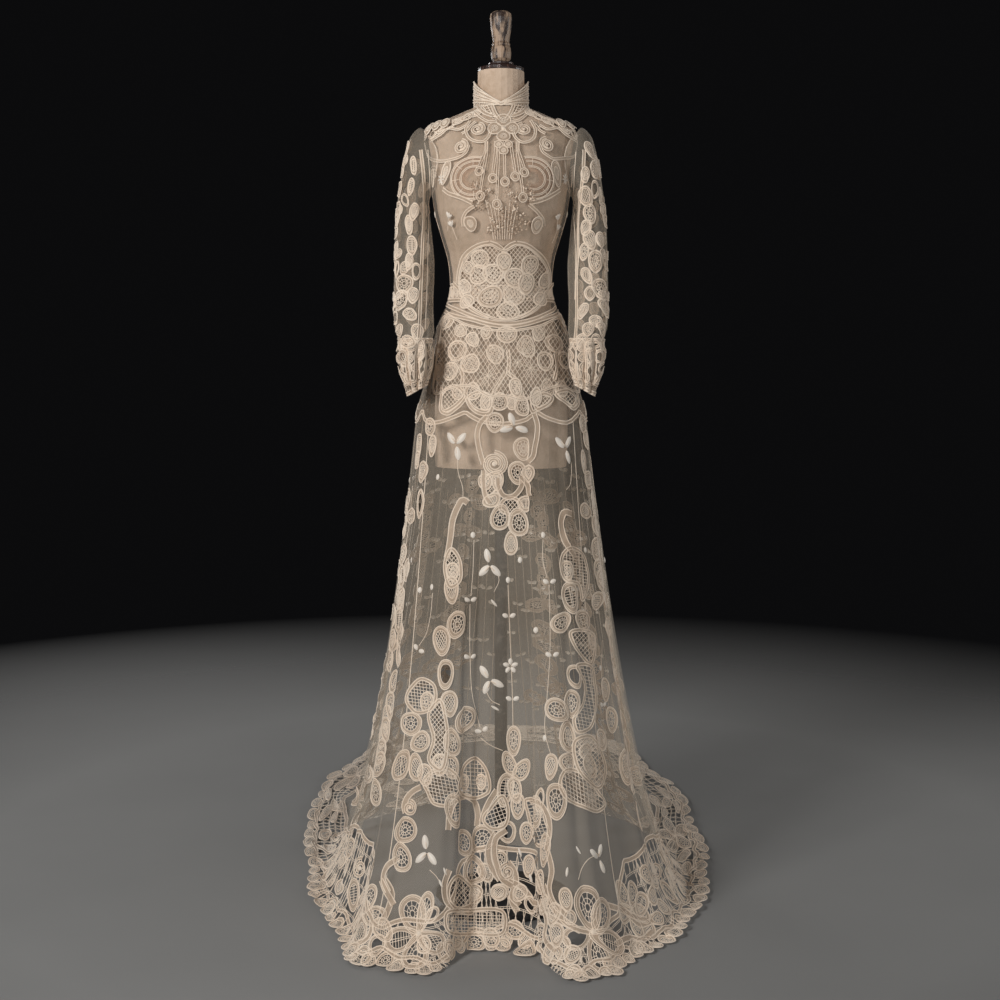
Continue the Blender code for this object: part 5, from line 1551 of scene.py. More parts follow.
@dataclass
class SkirtWork:
    """The gored net skirt, the lace let into it and its embroidery."""

    wardrobe: Wardrobe
    skirt: SkirtShape
    front_seam: float = 56.0
    back_seam: float = 112.0

    LEFT_COLUMN = (
        (453, 571.6, 6, 9, 0, W), (452, 590, 7, 14, 4, T), (457, 625, 9, 14, -15, W), (441.6, 641, 9, 15, 10, T),
        (445.8, 674.7, 8, 15, 0, O), (450, 704, 8, 13, 0, T), (463, 720, 9, 14, -30, W), (452, 742, 8, 14, 185, W),
        (451, 767, 8, 12, 10, W), (426.8, 702, 8, 10, -10, W), (411, 724, 11, 11.5, 10, W), (421, 742, 10, 13, -60, W),
        (400.5, 765, 9, 16, 165, T), (417, 767, 9, 14, 200, T), (403, 601, 8, 12, 0, T), (393, 617, 8, 13, 5, W),
        (394, 640, 8, 11, 0, W), (391, 660, 8, 12, 10, W), (387, 717, 9, 12, 10, W), (383, 736, 9, 12, 0, T),
        (430, 427, 7, 9, 20, W), (420, 446, 6, 12, 5, T), (423, 472, 6, 11, 0, T), (421, 504, 5, 15, 6, O),
        (433, 446, 5, 11, 0, T), (418, 460, 5, 9, 0, T), (408, 570, 8, 12, -5, T), (399, 585, 7, 11, 10, W),
    )
    RIGHT_COLUMN = (
        (566.8, 571, 7, 10, 0, W), (571.5, 598, 10, 16, 3, L), (562, 622, 9, 12.5, 120, W), (582, 620, 10, 12.5, -120, W),
        (591, 641, 6, 9, 10, W), (575, 677, 8, 12, 10, O), (571, 704, 8.5, 14, -5, W), (557, 710.5, 10.5, 13.5, 50, W),
        (568, 736, 9, 16, 180, W), (585.8, 752.6, 9, 9, 0, W), (568, 763, 9, 10, 0, W), (550.4, 767, 6, 13, 0, T),
        (589, 766, 9, 13, 20, T), (556, 801.7, 10, 18, 5, W), (625.8, 767, 8, 18, -10, T), (581.5, 424, 6.5, 9, 0, W),
        (585.6, 440, 6, 10, 0, T), (583, 462, 5, 12, 0, W), (588, 480, 6, 9, 0, T), (592, 500, 5, 14, -4, T),
        (597, 524, 5, 12, -4, O), (612, 640, 6, 12, 0, T), (606, 600, 5, 10, 0, W), (604, 690, 7, 12, -5, T),
        (610, 720, 8, 13, 0, W), (600, 740, 8, 11, 10, T),
    )
    CENTRE = (
        (494.8, 422.7, 8.5, 10, 0, W), (523.4, 449, 8.5, 11.5, 0, W), (517.6, 473, 8.5, 11.5, 0, W), (529, 474, 4.5, 9, 0, T),
        (492, 500.6, 9, 6.5, 30, L), (526, 504, 6.5, 8, 0, L), (500, 517, 9.5, 13, 170, W), (519, 522, 10, 14, 190, W),
        (511, 543, 6.5, 12, 180, T), (485, 482, 7, 8, 20, T), (497, 482, 5, 9, 0, T),
    )
    LOWER = (
        (513.8, 741, 7, 15, 0, W), (509, 763, 6.5, 12.5, 200, W), (522.6, 769.5, 7.5, 12, 150, W),
        (463.7, 782, 4.5, 8, 0, W), (481.6, 782, 4.5, 8, 0, W), (405, 830.5, 12, 13.5, -40, W), (401, 856.5, 10, 15, 200, W),
        (462.7, 843, 10, 14, 20, W), (482, 839, 11.5, 14.5, -35, W), (471, 869, 12, 15, 180, W), (474, 892, 7, 7.5, 0, T),
        (498.4, 893, 8, 7.5, 0, T), (505, 790, 8, 17, -10, L), (518, 806, 7, 13, 0, W), (515, 790, 7, 13, 10, W),
        (454.5, 811, 8.5, 17, 0, L), (527, 833, 7, 11, 0, W), (507, 832, 9, 11, 10, O), (541, 800, 6, 12, 0, O),
        (440, 765, 8, 11, 0, W), (425, 775, 8, 11, 20, T), (536, 812, 7, 16, 10, T), (545, 850, 7, 17, 5, T),
    )
    DOTS = (
        ((508, 580), 0, 1), ((509, 616), 0, 2), ((512.5, 699), 0, 2), ((470, 657), 0, 2), ((481.6, 730.5), 20, 2),
        ((418.4, 649.5), -30, 2), ((432, 587), 0, 1), ((549, 582), 0, 2), ((552, 655), 0, 2), ((544.7, 738), 0, 1),
        ((602.6, 705), -10, 2), ((438, 477), -10, 1), ((473, 535), 0, 1), ((543, 535), 0, 1), ((470, 600), 0, 2),
        ((600, 668), 0, 1), ((412, 560), 0, 1), ((520, 560), 0, 1), ((536, 630), 0, 1), ((604, 560), 0, 1),
        ((585, 550), 0, 1), ((420, 590), 0, 1), ((408, 480), 0, 1),
    )
    STEMS = (
        [(508, 585), (509, 612), (511, 660), (512.5, 699), (513, 727)], [(433, 593), (430, 620), (426, 635), (419, 646)],
        [(470, 604), (470, 657), (473, 700), (480, 727)], [(481, 738), (490, 745), (502.6, 750.5)],
        [(549, 585), (550, 651), (547, 700), (545, 730), (553, 762)], [(458, 455), (458, 470), (463, 490), (463, 497)],
        [(571, 462), (571, 475), (569, 486), (566, 490)], [(474, 540), (473, 570), (471, 596)], [(543, 540), (543, 560), (547, 578)],
        [(495, 567), (499, 580), (494, 592)], [(486, 690), (491, 700), (500, 705)], [(602, 640), (601, 664), (602, 698)],
        [(430, 870), (436, 876), (441, 884)], [(578, 880), (582, 868), (590, 858), (598, 855)], [(520, 856), (525, 868), (531, 882)],
        [(413, 486), (410, 520), (405, 556)], [(600, 455), (604, 500), (606, 548)],
    )
    BOWS = ((456, 444, 0), (565.5, 448, 0), (514, 427, 60), (490, 565, 180), (490, 680, 200), (598, 858, 0), (427, 852, 180))
    LEAVES = ((494, 603, 40), (495, 708, 60), (441, 884, 20), (578, 850, 30), (567, 872, -10), (445, 872, 15), (520, 852, 20), (531, 878, 25))

    def gores(self) -> list[tuple[str, float, float, tuple[float, float], float]]:
        """Name, first and last u, flat size and flat area of each gore."""
        turn = self.skirt.turn
        front_left, front_right = turn(-self.front_seam) - 1, turn(self.front_seam)
        back_right, back_left = turn(self.back_seam), turn(-self.back_seam)
        return [
            ("front", front_left, front_right, (0.60, 0.93), 0.34),
            ("side_left", front_right, back_right, (0.42, 0.92), 0.26),
            ("back_left", back_right, 0.5, (0.98, 1.32), 0.61),
            ("back_right", 0.5, back_left, (0.98, 1.32), 0.62),
            ("side_right", back_left, front_left + 1, (0.42, 0.92), 0.26),
        ]

    def net(self) -> None:
        """The gores, each with a corded seam."""
        chart = self.skirt.chart
        for name, start, stop, flat, area in self.gores():
            lace = Lace(0.0006)
            columns = max(60, round((stop - start) * 1100))
            u = np.linspace(start, stop, columns + 1)
            top, bottom = self.skirt.yoke_edge(u), self.skirt.border_top(u)
            q = top + (bottom - top) * np.linspace(0, 1, 151)[:, None]
            lace.ground(chart, np.broadcast_to(u, q.shape), q, 0.0005)
            lace.cord(*chart.at(np.full(76, start), q[::2, 0]), width=0.0018)
            made = lace.finish(f"net_skirt_{name}", self.wardrobe, (f"skirt_{name}",), "net_cloth")

    def rings(self, lace: Lace, table: tuple, band: float = 0.34) -> None:
        """Rings of tape where the photograph shows them."""
        for x, y, wide, tall, turn, filling in table:
            spot = self.skirt.chart.spot(x, y, turn)
            lace.ring(spot, wide * spot.pixel, tall * spot.pixel, filling, band=band)

    def insertions(self) -> None:
        """The two columns and the drop at the centre."""
        chart = self.skirt.chart
        lace = Lace(0.0012)
        self.rings(lace, self.LEFT_COLUMN)
        lace.tape(chart.trace([(468, 503), (463, 500), (458, 507), (453, 520), (451, 536), (449, 549), (447, 558)], 26), 0.011)
        lace.worked_region(chart, [(452, 549), (458, 556), (461, 568), (459, 582), (451, 587), (446, 575), (446, 560)], 3.0)
        lace.worked_region(chart, [(407, 700), (411, 688), (422, 679), (433, 684), (436, 696), (430, 710), (416, 712)], 3.2, (84.0, 8.0))
        lace.worked_region(chart, [(430, 712), (440, 700), (446, 720), (447, 745), (440, 770), (430, 762), (434, 740)], 3.2)
        lace.finish("lace_column_work_right", self.wardrobe, ("lace_column_right",))
        lace = Lace(0.0012)
        self.rings(lace, self.RIGHT_COLUMN)
        lace.tape(chart.trace([(571, 514), (565, 512), (561, 520), (562, 532), (566, 543), (571, 551), (574, 556)], 26), 0.011)
        lace.worked_region(chart, [(562, 556), (570, 548), (580, 552), (586, 566), (587, 586), (582, 600), (578, 584), (566, 580)], 3.0, (10.0, 88.0))
        lace.worked_region(chart, [(571, 632), (580, 630), (592, 634), (594, 650), (590, 664), (581, 656), (574, 645)], 3.2)
        lace.worked_region(chart, [(577, 665), (588, 665), (594, 684), (594, 712), (589, 728), (578, 732), (574, 720), (582, 704), (584, 684)], 3.4, (12.0, 80.0))
        lace.worked_region(chart, [(576, 740), (588, 736), (600, 752), (604, 775), (598, 788), (586, 780), (576, 762)], 3.4)
        lace.finish("lace_column_work_left", self.wardrobe, ("lace_column_left",))
        lace = Lace(0.0014)
        self.rings(lace, self.CENTRE)
        lace.scroll(chart.spot(494.4, 464), 12.5 * chart.spot(494.4, 464).pixel, 2.3)
        for line in ([(487.8, 416), (480, 424), (477.5, 434), (478.5, 446), (481, 456), (483.6, 464)],
                     [(534, 414), (537, 424), (536.7, 436), (534.5, 448), (533, 456), (528, 462)],
                     [(498, 478), (499, 488), (504, 496), (511, 497), (518, 492), (522, 484), (521, 476)],
                     [(484, 470), (484, 484), (486, 496), (490, 503)], [(522, 478), (528, 486), (530, 496)]):
            lace.tape(chart.trace(line, 24), 0.0085)
        lace.worked_region(chart, [(489, 476), (500, 472), (502, 480), (496, 492), (488, 496), (484, 488)], 3.0)
        lace.worked_region(chart, [(504, 500), (516, 499), (522, 508), (514, 514), (508, 514), (500, 508)], 3.2)
        lace.finish("centre_drop_lace", self.wardrobe, ("centre_drop",))

    def embroidery(self) -> None:
        """Satin dots on their stems, bows and small leaves over the net of the front and the sides."""
        chart = self.skirt.chart
        lace = Lace(0.0009)
        for (x, y), turn, count in self.DOTS:
            spot = chart.spot(x, y, turn)
            if count == 1:
                lace.pad(spot, 0.0085, 0.0120)
            else:
                for side in (-1, 1):
                    lace.pad(spot.moved(side * 0.0072, 0.001, -side * 62), 0.0085, 0.0125)
        for line in self.STEMS:
            lace.cord(*chart.trace(line, 24), width=0.0013)
        for x, y, turn in self.BOWS:
            spot = chart.spot(x, y, turn)
            for right, up, way in ((-0.011, 0.011, 40), (0.011, 0.011, -40), (0.005, -0.018, 12)):
                lace.pad(spot.moved(right, up, way), 0.0125, 0.027, 0.0028)
                lace.pad(spot.moved(right * 0.55, up * 0.8, way), 0.0040, 0.018, 0.0032, Finish.CORD)
        for k in range(5):
            lace.pad(chart.spot(510.5, 666, 72 * k).moved(0, 0.0088), 0.0085, 0.0130, 0.0026)
        for x, y, turn in self.LEAVES:
            lace.pad(chart.spot(x, y, turn), 0.0050, 0.0180)
        spread = np.random.default_rng(7)
        for u in np.arange(0.21, 0.80, 0.0195):
            length = float(self.skirt.length(np.array(u)))
            start = 0.10 + 0.08 * spread.uniform()
            stop = min(length - 0.26, 0.92 + 0.5 * (length - 1.1))
            if stop - start < 0.2:
                continue
            line = np.linspace(start, stop, 40)
            sway = u + 0.002 * np.sin(line * 6 + u * 40)
            lace.cord(*chart.at(sway, line), width=0.0013)
            for down in np.arange(start + 0.03, stop, 0.135):
                spot = Spot(chart, float(np.interp(down, line, sway)), down, spread.uniform(-15, 15))
                for side in (-1, 1):
                    lace.pad(spot.moved(side * 0.0072, 0.001, -side * 62), 0.0085, 0.0125)
        lace.finish("skirt_embroidery", self.wardrobe)

    def side_lace(self) -> None:
        """Climbing columns of rings and flowers on the sides and the back."""
        chart = self.skirt.chart
        spread = np.random.default_rng(23)
        for label, turns in (("left", (78, 104, 132, 160)), ("right", (-78, -104, -132, -160))):
            lace = Lace(0.0012)
            for turn in turns:
                u = self.skirt.turn(turn)
                down, stop = 0.16 + 0.06 * spread.uniform(), float(self.skirt.border_top(np.array(u))) - 0.03
                while down < stop:
                    size = 0.017 + 0.012 * down + 0.004 * spread.uniform()
                    place = u + 0.010 * math.sin(down * 8 + turn)
                    if spread.uniform() < 0.30:
                        lace.flower(Spot(chart, place, down, spread.uniform(-60, 60)), size * 2.1, 3, (W, T, W))
                        down += size * 3.2
                    else:
                        filling = (W, T, L, W)[int(spread.integers(4))]
                        lace.ring(Spot(chart, place, down, spread.uniform(-25, 25)), size * 0.66, size, filling)
                        down += size * 1.9
            lace.finish(f"side_lace_{label}", self.wardrobe)

    def lower_lace(self) -> None:
        """Flowers, arches and leaves that climb from the border up the front."""
        chart = self.skirt.chart
        lace = Lace(0.0013)
        self.rings(lace, self.LOWER)
        for outline, pitch, ways in (
            ([(459, 792), (460, 776), (466, 763), (474, 758), (482, 763), (488, 776), (488, 792), (474, 798)], 4.0, (88.0, 4.0)),
            ([(424, 782), (432, 772), (445, 768), (456, 775), (457, 795), (448, 805), (434, 803), (428, 792)], 3.4, (80.0, 12.0)),
            ([(560, 784), (566, 770), (580, 772), (596, 790), (604, 806), (598, 811), (582, 806), (566, 798)], 3.4, (84.0, 30.0)),
            ([(450, 884), (456, 876), (468, 884), (476, 900), (472, 912), (458, 911), (449, 900)], 3.2, (50.0, -50.0)),
            ([(446, 914), (470, 910), (504, 914), (503, 932), (476, 934), (447, 930)], 3.2, (90.0, 2.0)),
            ([(484, 820), (492, 806), (502, 796), (508, 812), (504, 826), (490, 828)], 3.8, (70.0, -20.0)),
            ([(526, 800), (536, 800), (546, 820), (548, 842), (540, 846), (532, 828), (528, 812)], 3.6, (70.0, -10.0)),
        ):
            lace.worked_region(chart, outline, pitch, ways)
        lines = (
            [(421.6, 787), (414, 791), (408, 797), (404.5, 806), (406, 813)],
            [(448, 830), (450, 812), (456, 800), (466, 796), (474, 802), (478, 815), (477, 826)],
            [(497, 790), (490, 800), (485, 812), (482, 822)], [(530, 800), (540, 803), (548, 815), (550, 832), (547, 850)],
            [(382, 880), (388, 895), (394, 905)], [(398, 858), (388, 866), (384, 878), (388, 892)],
            [(506, 830), (496, 838), (494, 850), (497, 866), (503, 880), (512, 886)], [(508, 862), (514, 870), (516, 884), (512, 896), (520, 905)],
            [(548, 850), (552, 870), (550, 890), (556, 906), (566, 914)], [(618, 905), (632, 916), (646, 920)],
        )
        for line in lines:
            lace.tape(chart.trace(line, 26), 0.010)
        lace.scroll(chart.spot(410, 808), 7.5 * chart.spot(410, 808).pixel, 1.3)
        lace.scroll(chart.spot(507, 872), 8.5 * chart.spot(507, 872).pixel, 1.4, -1)
        lace.finish("lower_front_lace", self.wardrobe)

    def build(self) -> None:
        """Make every piece, the net last, since it is cut away behind the lace."""
        self.insertions()
        self.embroidery()
        self.side_lace()
        self.lower_lace()
        self.net()


@dataclass
class HemBorder:
    """The deep openwork border in five lengths, with its scalloped edge of small rings."""

    wardrobe: Wardrobe
    skirt: SkirtShape
    gores: list

    FRONT_FLOWERS = (
        (419, 933.5, ((28, 15, 40, W), (-8, 8, 42, W), (114, 14, 37, L), (180, 14, 38, W), (-117, 12, 31, T))),
        (593, 932, ((2, 15, 46, W), (-46, 13, 39, W), (-127, 14, 41, L), (180, 12.5, 45, W), (100, 12, 32, O))),
    )
    FRONT_RINGS = (
        (515.5, 930.5, 9, 10.5, 60, W), (538, 933, 9, 10.5, -60, W), (526.5, 951, 10.5, 14, 180, W), (473, 896, 7, 7.5, 0, T),
        (499.8, 892, 8.5, 8, 0, T), (454.5, 941, 9.5, 9, 10, T), (474, 943, 11, 10, 0, W), (491, 945, 6, 8, 0, O),
        (503, 947, 7.5, 8.5, 0, W), (361, 957, 12, 13, 200, W), (377, 946, 8, 12, -20, O), (383, 930, 9, 13, 25, T),
        (549, 955, 9, 12, 0, T), (556, 935, 8, 12, 25, T), (553, 915, 7, 12, 0, T), (637, 948, 10, 9, 80, W), (648, 930, 9, 11, -40, T),
        (486, 873, 7, 10, 30, T), (500, 860, 7, 9, 0, W), (529, 866, 6, 11, 0, T), (541, 882, 6, 12, 10, W),
        (520, 893, 7, 9, -30, T), (531, 905, 6, 9, 30, O), (545, 905, 6, 11, -15, T),
        (566, 900, 6, 12, 10, T), (561, 948, 9, 12, 20, W), (572, 955, 8, 10, -20, T), (409, 960, 8, 8, 30, T), (432, 915, 5, 9, -30, O),
        (445, 953, 9, 10, -30, W), (396, 968, 10, 8, 80, T), (574, 973, 9, 8, 60, T), (616, 972, 9, 8, 80, W), (640, 905, 9, 14, -50, L),
    )
    FRONT_TAPES = (
        [(449, 870), (444, 885), (447, 902), (458, 910), (470, 906), (479, 898)], [(517.6, 912), (512, 900), (514, 884), (509, 872)],
        [(384, 878), (391.5, 893), (388, 910), (380, 925)], [(366, 900), (372, 918), (368, 938), (356, 945)],
        [(545, 885), (552, 905), (566, 922), (580, 931)], [(606, 905), (625, 912), (640, 925), (652, 921)],
        [(505, 880), (520, 886), (531, 898), (538, 914)], [(496, 832), (489, 846), (490, 864), (500, 880)],
        [(540, 900), (547, 920), (546, 940), (556, 952)], [(615, 945), (628, 938), (642, 940), (652, 932)],
    )
    spacing: float = 0.0105

    def stretch(self, u: float) -> float:
        """How much longer the motifs are where the hem runs away from the front."""
        before, after = self.skirt.hem(np.array(u - 0.004)), self.skirt.hem(np.array(u + 0.004))
        run_x, run_y = float(after[1] - before[1]), float(after[2] - before[2])
        return 1.0 + 2.0 * abs(run_y) / math.hypot(run_x, run_y) * float(np.clip(1.04 * 4 * (0.5 - abs(u % 1 - 0.5)) - 0.30, 0, 1))

    def spot(self, u: float, rise: float, turn: float, stretch: float, squash: bool = True) -> Spot:
        """A spot that lies rise metres up from the hem and follows it."""
        ahead, behind = self.skirt.length(np.array((u + 0.004, u - 0.004)))
        return Spot(self.skirt.chart, u, float(self.skirt.length(u)) - rise, turn, stretch, (ahead - behind) / 0.008, squash)

    def slip(self, u: Points) -> Points:
        """How far p moves for a metre down, so that bars stand square to the hem."""
        chart, length = self.skirt.chart, self.skirt.length
        along = (chart.at(u + 0.004, length(u + 0.004) - 0.05)[0] - chart.at(u - 0.004, length(u - 0.004) - 0.05)[0]) / 0.008
        down = (chart.at(u, length(u) - 0.03)[0] - chart.at(u, length(u) - 0.09)[0]) / 0.06
        return -np.sum(along * down, -1) / np.sum(along * along, -1)

    def places(self, start: float, stop: float, step: float) -> list[tuple[float, float]]:
        """Places along the border and their stretch, step apart before stretching."""
        found, u = [], start
        while u < stop:
            long = self.stretch(u)
            half = step * long / self.skirt.round_hem / 2
            found.append((u + half, long))
            u += 2 * half
        squeeze = (stop - start) / (u - start)
        return [(start + (place - start) * squeeze, long * squeeze) for place, long in found]

    def ground(self, lace: Lace, start: float, stop: float) -> None:
        """Bars in rows between paired threads, left out where a motif lies."""
        chart = self.skirt.chart
        shares = np.array((0.02, 0.17, 0.32, 0.47, 0.62, 0.77, 0.93))
        u = np.array([start] + [place for place, _ in self.places(start, stop, self.spacing)] + [stop])
        count = len(u)
        slip = self.slip(u)
        top, bottom = self.skirt.border_top, self.skirt.hem_edge
        for row, (high, low) in enumerate(zip(shares, shares[1:])):
            for lean in (0.0, 0.5):
                ends = []
                for share, way in ((high, 1 - 2 * (row % 2)), (low, 2 * (row % 2) - 1)):
                    v = u + way * (lean - 0.25) * (stop - start) / count + slip * (share - 1) * (bottom(u) - top(u))
                    v = np.clip(v, start, stop)
                    ends.append((v, top(v) + (bottom(v) - top(v)) * share))
                (v, q_v), (w, q_w) = ends
                free = ~chart.opened((v + w) / 2, (q_v + q_w) / 2, 1.5)
                if free.any():
                    first, last = chart.at(v[free], q_v[free]), chart.at(w[free], q_w[free])
                    lace.threads(first, last, width=0.0014)
        for share in shares[1:-1]:
            for apart in (-0.0016, 0.0016):
                q = top(u) + (bottom(u) - top(u)) * share + apart
                free = ~chart.opened((u[1:] + u[:-1]) / 2, (q[1:] + q[:-1]) / 2, 1.4)
                first, last = chart.at(u[:-1][free], q[:-1][free]), chart.at(u[1:][free], q[1:][free])
                lace.threads(first, last, width=0.0012)

    def edges(self, lace: Lace, start: float, stop: float) -> None:
        """The tapes of the arched top and over the rings of the edge."""
        chart = self.skirt.chart
        u = np.linspace(start, stop, max(30, round((stop - start) * self.skirt.round_hem / 0.008)))
        top, bottom = self.skirt.border_top(u), self.skirt.hem_edge(u)
        lace.tape(chart.at(u, top + 0.004 + 0.004 * np.sin(math.tau * 43 * u)), 0.0075)
        lace.tape(chart.at(u, bottom - 0.036 - 0.005 * np.sin(math.tau * 60 * u)), 0.0062)

    def ring_edge(self, lace: Lace, start: float, stop: float, seed: int) -> None:
        """The small rings side by side along the scallops."""
        spread = np.random.default_rng(seed)
        for k, (u, long) in enumerate(self.places(start, stop, 0.030)):
            low = float(self.skirt.hem_edge(np.array(u)))
            big = 1.0 + 0.20 * math.sin(k * 2.1)
            tall = 0.0165 * big / (1 + 0.24 * (long - 1))
            rise = float(self.skirt.length(u)) - low
            spot = self.spot(u, rise, 0, long, False).moved(0, tall - 0.002, 180 + spread.uniform(-22, 22) / long)
            if not self.skirt.chart.opened(spot.p, spot.q, 0.8):
                lace.ring(spot, 0.0135 * big, tall, (W, W, T, W, L)[k % 5], band=0.32, narrow=0.10)

    def motifs(self, lace: Lace, start: float, stop: float, seed: int) -> None:
        """Flowers, leaves, paisleys and scrolls in turn along the border."""
        spread = np.random.default_rng(seed + 5)
        for k, (u, long) in enumerate(self.places(start, stop, 0.118)):
            step = long / self.skirt.round_hem

            def at(right: float, rise: float, turn: float) -> Spot:
                """A spot beside this place, rise metres up from the hem."""
                return self.spot(u + right * step, rise, turn, long)

            if k % 3 == 0:
                lace.flower(at(0, 0.100, spread.uniform(-25, 25)), 0.062, 5, (W, L, W, T), 360, 0, 1.04)
            elif k % 3 == 1:
                lace.flower(at(0, 0.126, spread.uniform(-60, 60)), 0.044, 3, (W, T, W))
                turn = spread.uniform(-30, 30)
                lace.ring(at(0.028, 0.074, 80 + turn), 0.015, 0.028, T)
                lace.ring(at(-0.028, 0.064, -70 + turn), 0.013, 0.022, W)
            else:
                lace.scroll(at(-0.022, 0.136, 0), 0.020, 1.5, 1 if k % 2 else -1)
                lace.ring(at(-0.014, 0.084, 20 + spread.uniform(-20, 20)), 0.016, 0.032, L)
                lace.ring(at(0.030, 0.096, -25), 0.014, 0.027, W)
                bend = np.linspace(-1, 1, 24)
                line = u + (0.052 - 0.018 * bend ** 2) * step
                lace.tape(self.skirt.chart.at(line, self.skirt.length(line) - 0.1 + 0.058 * bend), 0.0085)

    def front(self, lace: Lace) -> None:
        """The flowers at the front corners and the rings and tapes between, as the photograph shows them."""
        chart = self.skirt.chart
        for x, y, petals in self.FRONT_FLOWERS:
            spot = chart.spot(x, y)
            for turn, wide, reach, filling in petals:
                way = math.radians(turn)
                half = reach * spot.pixel / 2
                foot = spot.moved(-math.sin(way) * half, math.cos(way) * half, turn)
                lace.ring(foot, wide * spot.pixel * 0.92, half, filling, band=0.34, narrow=0.30)
            lace.pad(spot, 0.013, 0.013, 0.003, Finish.CORD)
        for x, y, wide, tall, turn, filling in self.FRONT_RINGS:
            spot = chart.spot(x, y, turn)
            if not chart.opened(spot.p, spot.q, 1.1):
                lace.ring(spot, wide * spot.pixel, tall * spot.pixel, filling, band=0.33)
        for line in self.FRONT_TAPES:
            lace.tape(chart.trace(line, 24), 0.0105)

    def build(self) -> None:
        """Make the five lengths."""
        for number, (name, start, stop, _, _) in enumerate(self.gores):
            lace = Lace(0.0006)
            if name == "front":
                self.front(lace)
            else:
                self.motifs(lace, start, stop, 60 + number)
            self.ring_edge(lace, start, stop, 80 + number)
            self.edges(lace, start, stop)
            self.ground(lace, start, stop)
            label = name.replace("back", "train")
            lace.finish(f"hem_border_{label}", self.wardrobe, (f"hem_lace_{label}",))


# ---------------------------------------------------------------- form and studio


@dataclass
class DressForm:
    """The form, which keeps its CAD solids and gets their finishes."""

    wardrobe: Wardrobe

    def build(self) -> None:
        """Dress each CAD node of the form and the stand."""
        lacquer = self.wardrobe.wood("dark_wood_finish", colour(0.30, 0.12, 0.07), colour(0.030, 0.014, 0.011), (0.60, 0.68), (0.22, 0.45), 0.6)
        knob = self.wardrobe.wood("worn_wood_finish", colour(0.58, 0.40, 0.27), colour(0.045, 0.028, 0.022), (0.43, 0.53), (0.30, 0.62), 0.25)
        finishes = {
            "form_torso": self.wardrobe.canvas(), "neck_cap": lacquer, "neck_knob": knob,
            "stand_pole": self.wardrobe.iron(), "stand_base": None,
        }
        finishes["stand_base"] = finishes["stand_pole"]
        for node, material in finishes.items():
            data = frame["nodes"][node].data
            data.materials.clear()
            data.materials.append(material)
            LOG.info("%s: finished", node)


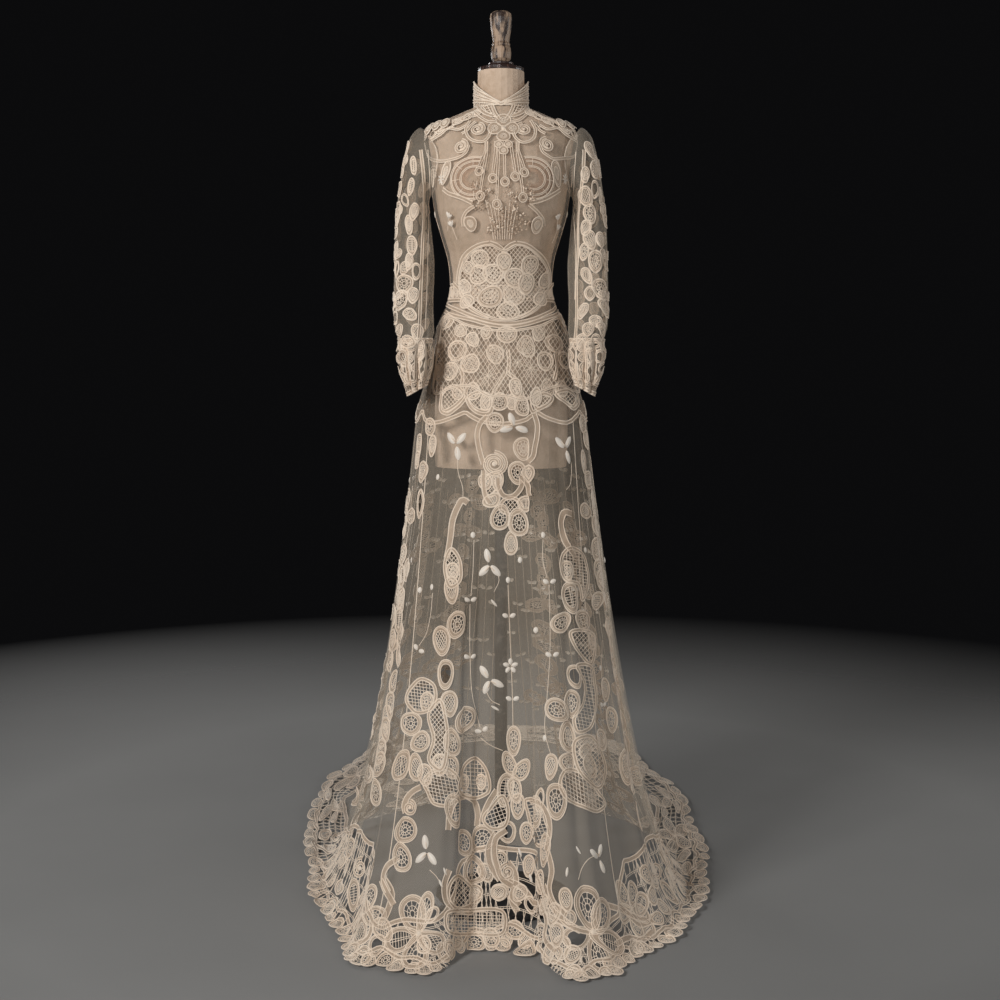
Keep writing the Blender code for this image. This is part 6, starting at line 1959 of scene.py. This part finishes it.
@dataclass
class Studio:
    """A pale floor that fades into a plain grey room, soft lights and the photograph's camera."""

    floor_radius: float = 7.0

    def floor(self) -> None:
        """The floor, fading out with distance."""
        disc = bmesh.new()
        bmesh.ops.create_circle(disc, cap_ends=True, segments=96, radius=self.floor_radius)
        bmesh.ops.translate(disc, verts=disc.verts[:], vec=(0, 0, -0.0006))
        data = bpy.data.meshes.new("studio_floor")
        disc.to_mesh(data)
        disc.free()
        made = bpy.data.objects.new("studio_floor", data)
        bpy.context.scene.collection.objects.link(made)
        material = bpy.data.materials.new("studio_floor_finish")
        material.use_nodes = True
        nodes, shader = Nodes(material.node_tree), material.node_tree.nodes["Principled BSDF"]
        place = nodes.add("ShaderNodeTexCoord").outputs["Object"]
        distance = nodes.add("ShaderNodeVectorMath", {0: place}, operation="LENGTH").outputs["Value"]
        noise = nodes.add("ShaderNodeTexNoise", {"Vector": place, "Scale": 3.0, "Detail": 4.0}).outputs[0]
        pale = nodes.mix(noise, colour(0.25, 0.248, 0.242), colour(0.28, 0.277, 0.27))
        nodes.tree.links.new(pale, shader.inputs["Base Color"])
        nodes.tree.links.new(nodes.spread(distance, 1.2, 3.0, 1.0, 0.0), shader.inputs["Alpha"])
        shader.inputs["Roughness"].default_value = 0.9
        data.materials.append(material)

    def room(self) -> None:
        """The grey that surrounds the stage."""
        world = bpy.data.worlds.new("studio")
        world.use_nodes = True
        nodes, plain = Nodes(world.node_tree), world.node_tree.nodes["Background"]
        seen = nodes.add("ShaderNodeLightPath").outputs["Is Camera Ray"]
        tone = nodes.mix(seen, colour(0.050, 0.048, 0.046), colour(0.0035, 0.0035, 0.0038))
        nodes.tree.links.new(tone, plain.inputs["Color"])
        bpy.context.scene.world = world

    def light(self, name: str, place: tuple[float, float, float], aim: tuple[float, float, float], size: float, power: float) -> None:
        """A soft square lamp."""
        lamp = bpy.data.lights.new(name, "AREA")
        lamp.size, lamp.energy = size, power
        made = bpy.data.objects.new(name, lamp)
        bpy.context.scene.collection.objects.link(made)
        made.location = place
        way = np.array(aim) - np.array(place)
        made.rotation_euler = (math.atan2(math.hypot(way[0], way[1]), -way[2]), 0.0, math.atan2(-way[0], way[1]))

    def camera(self) -> None:
        """The camera at the photograph's place."""
        lens = bpy.data.cameras.new("camera")
        lens.sensor_width = 36.0
        lens.lens = CAMERA.focal / CAMERA.frame * lens.sensor_width
        made = bpy.data.objects.new("camera", lens)
        bpy.context.scene.collection.objects.link(made)
        made.location = CAMERA.place
        made.rotation_euler = (math.pi / 2 - CAMERA.pitch, 0.0, 0.0)
        bpy.context.scene.camera = made

    def build(self) -> None:
        """Set the stage."""
        self.floor()
        self.room()
        self.camera()
        self.light("key", (-2.2, -3.4, 2.20), (0.0, -0.4, 1.35), 1.1, 102)
        self.light("fill", (2.5, -3.9, 1.4), (0.0, -0.5, 1.0), 2.0, 30)
        self.light("side", (3.2, 0.4, 1.5), (0.0, -0.2, 0.9), 1.6, 20)
        self.light("back", (-2.4, 2.8, 1.7), (0.0, 0.0, 0.8), 1.6, 34)
        scene = bpy.context.scene
        scene.view_settings.view_transform = "Standard"
        scene.cycles.transparent_max_bounces = 40


def main() -> None:
    """Build the dress, dress the form and set the stage."""
    logging.basicConfig(level=logging.INFO, format="%(message)s")
    wardrobe = Wardrobe()
    studio = Studio()
    studio.build()
    DressForm(wardrobe).build()
    body, skirt = body_chart(), SkirtShape()
    Bodice(wardrobe, body, collar_chart()).build()
    Waist(wardrobe, body, skirt).build()
    Sleeves(wardrobe).build()
    work = SkirtWork(wardrobe, skirt)
    HemBorder(wardrobe, skirt, work.gores()).build()
    work.build()


if __name__ == "__main__":
    main()
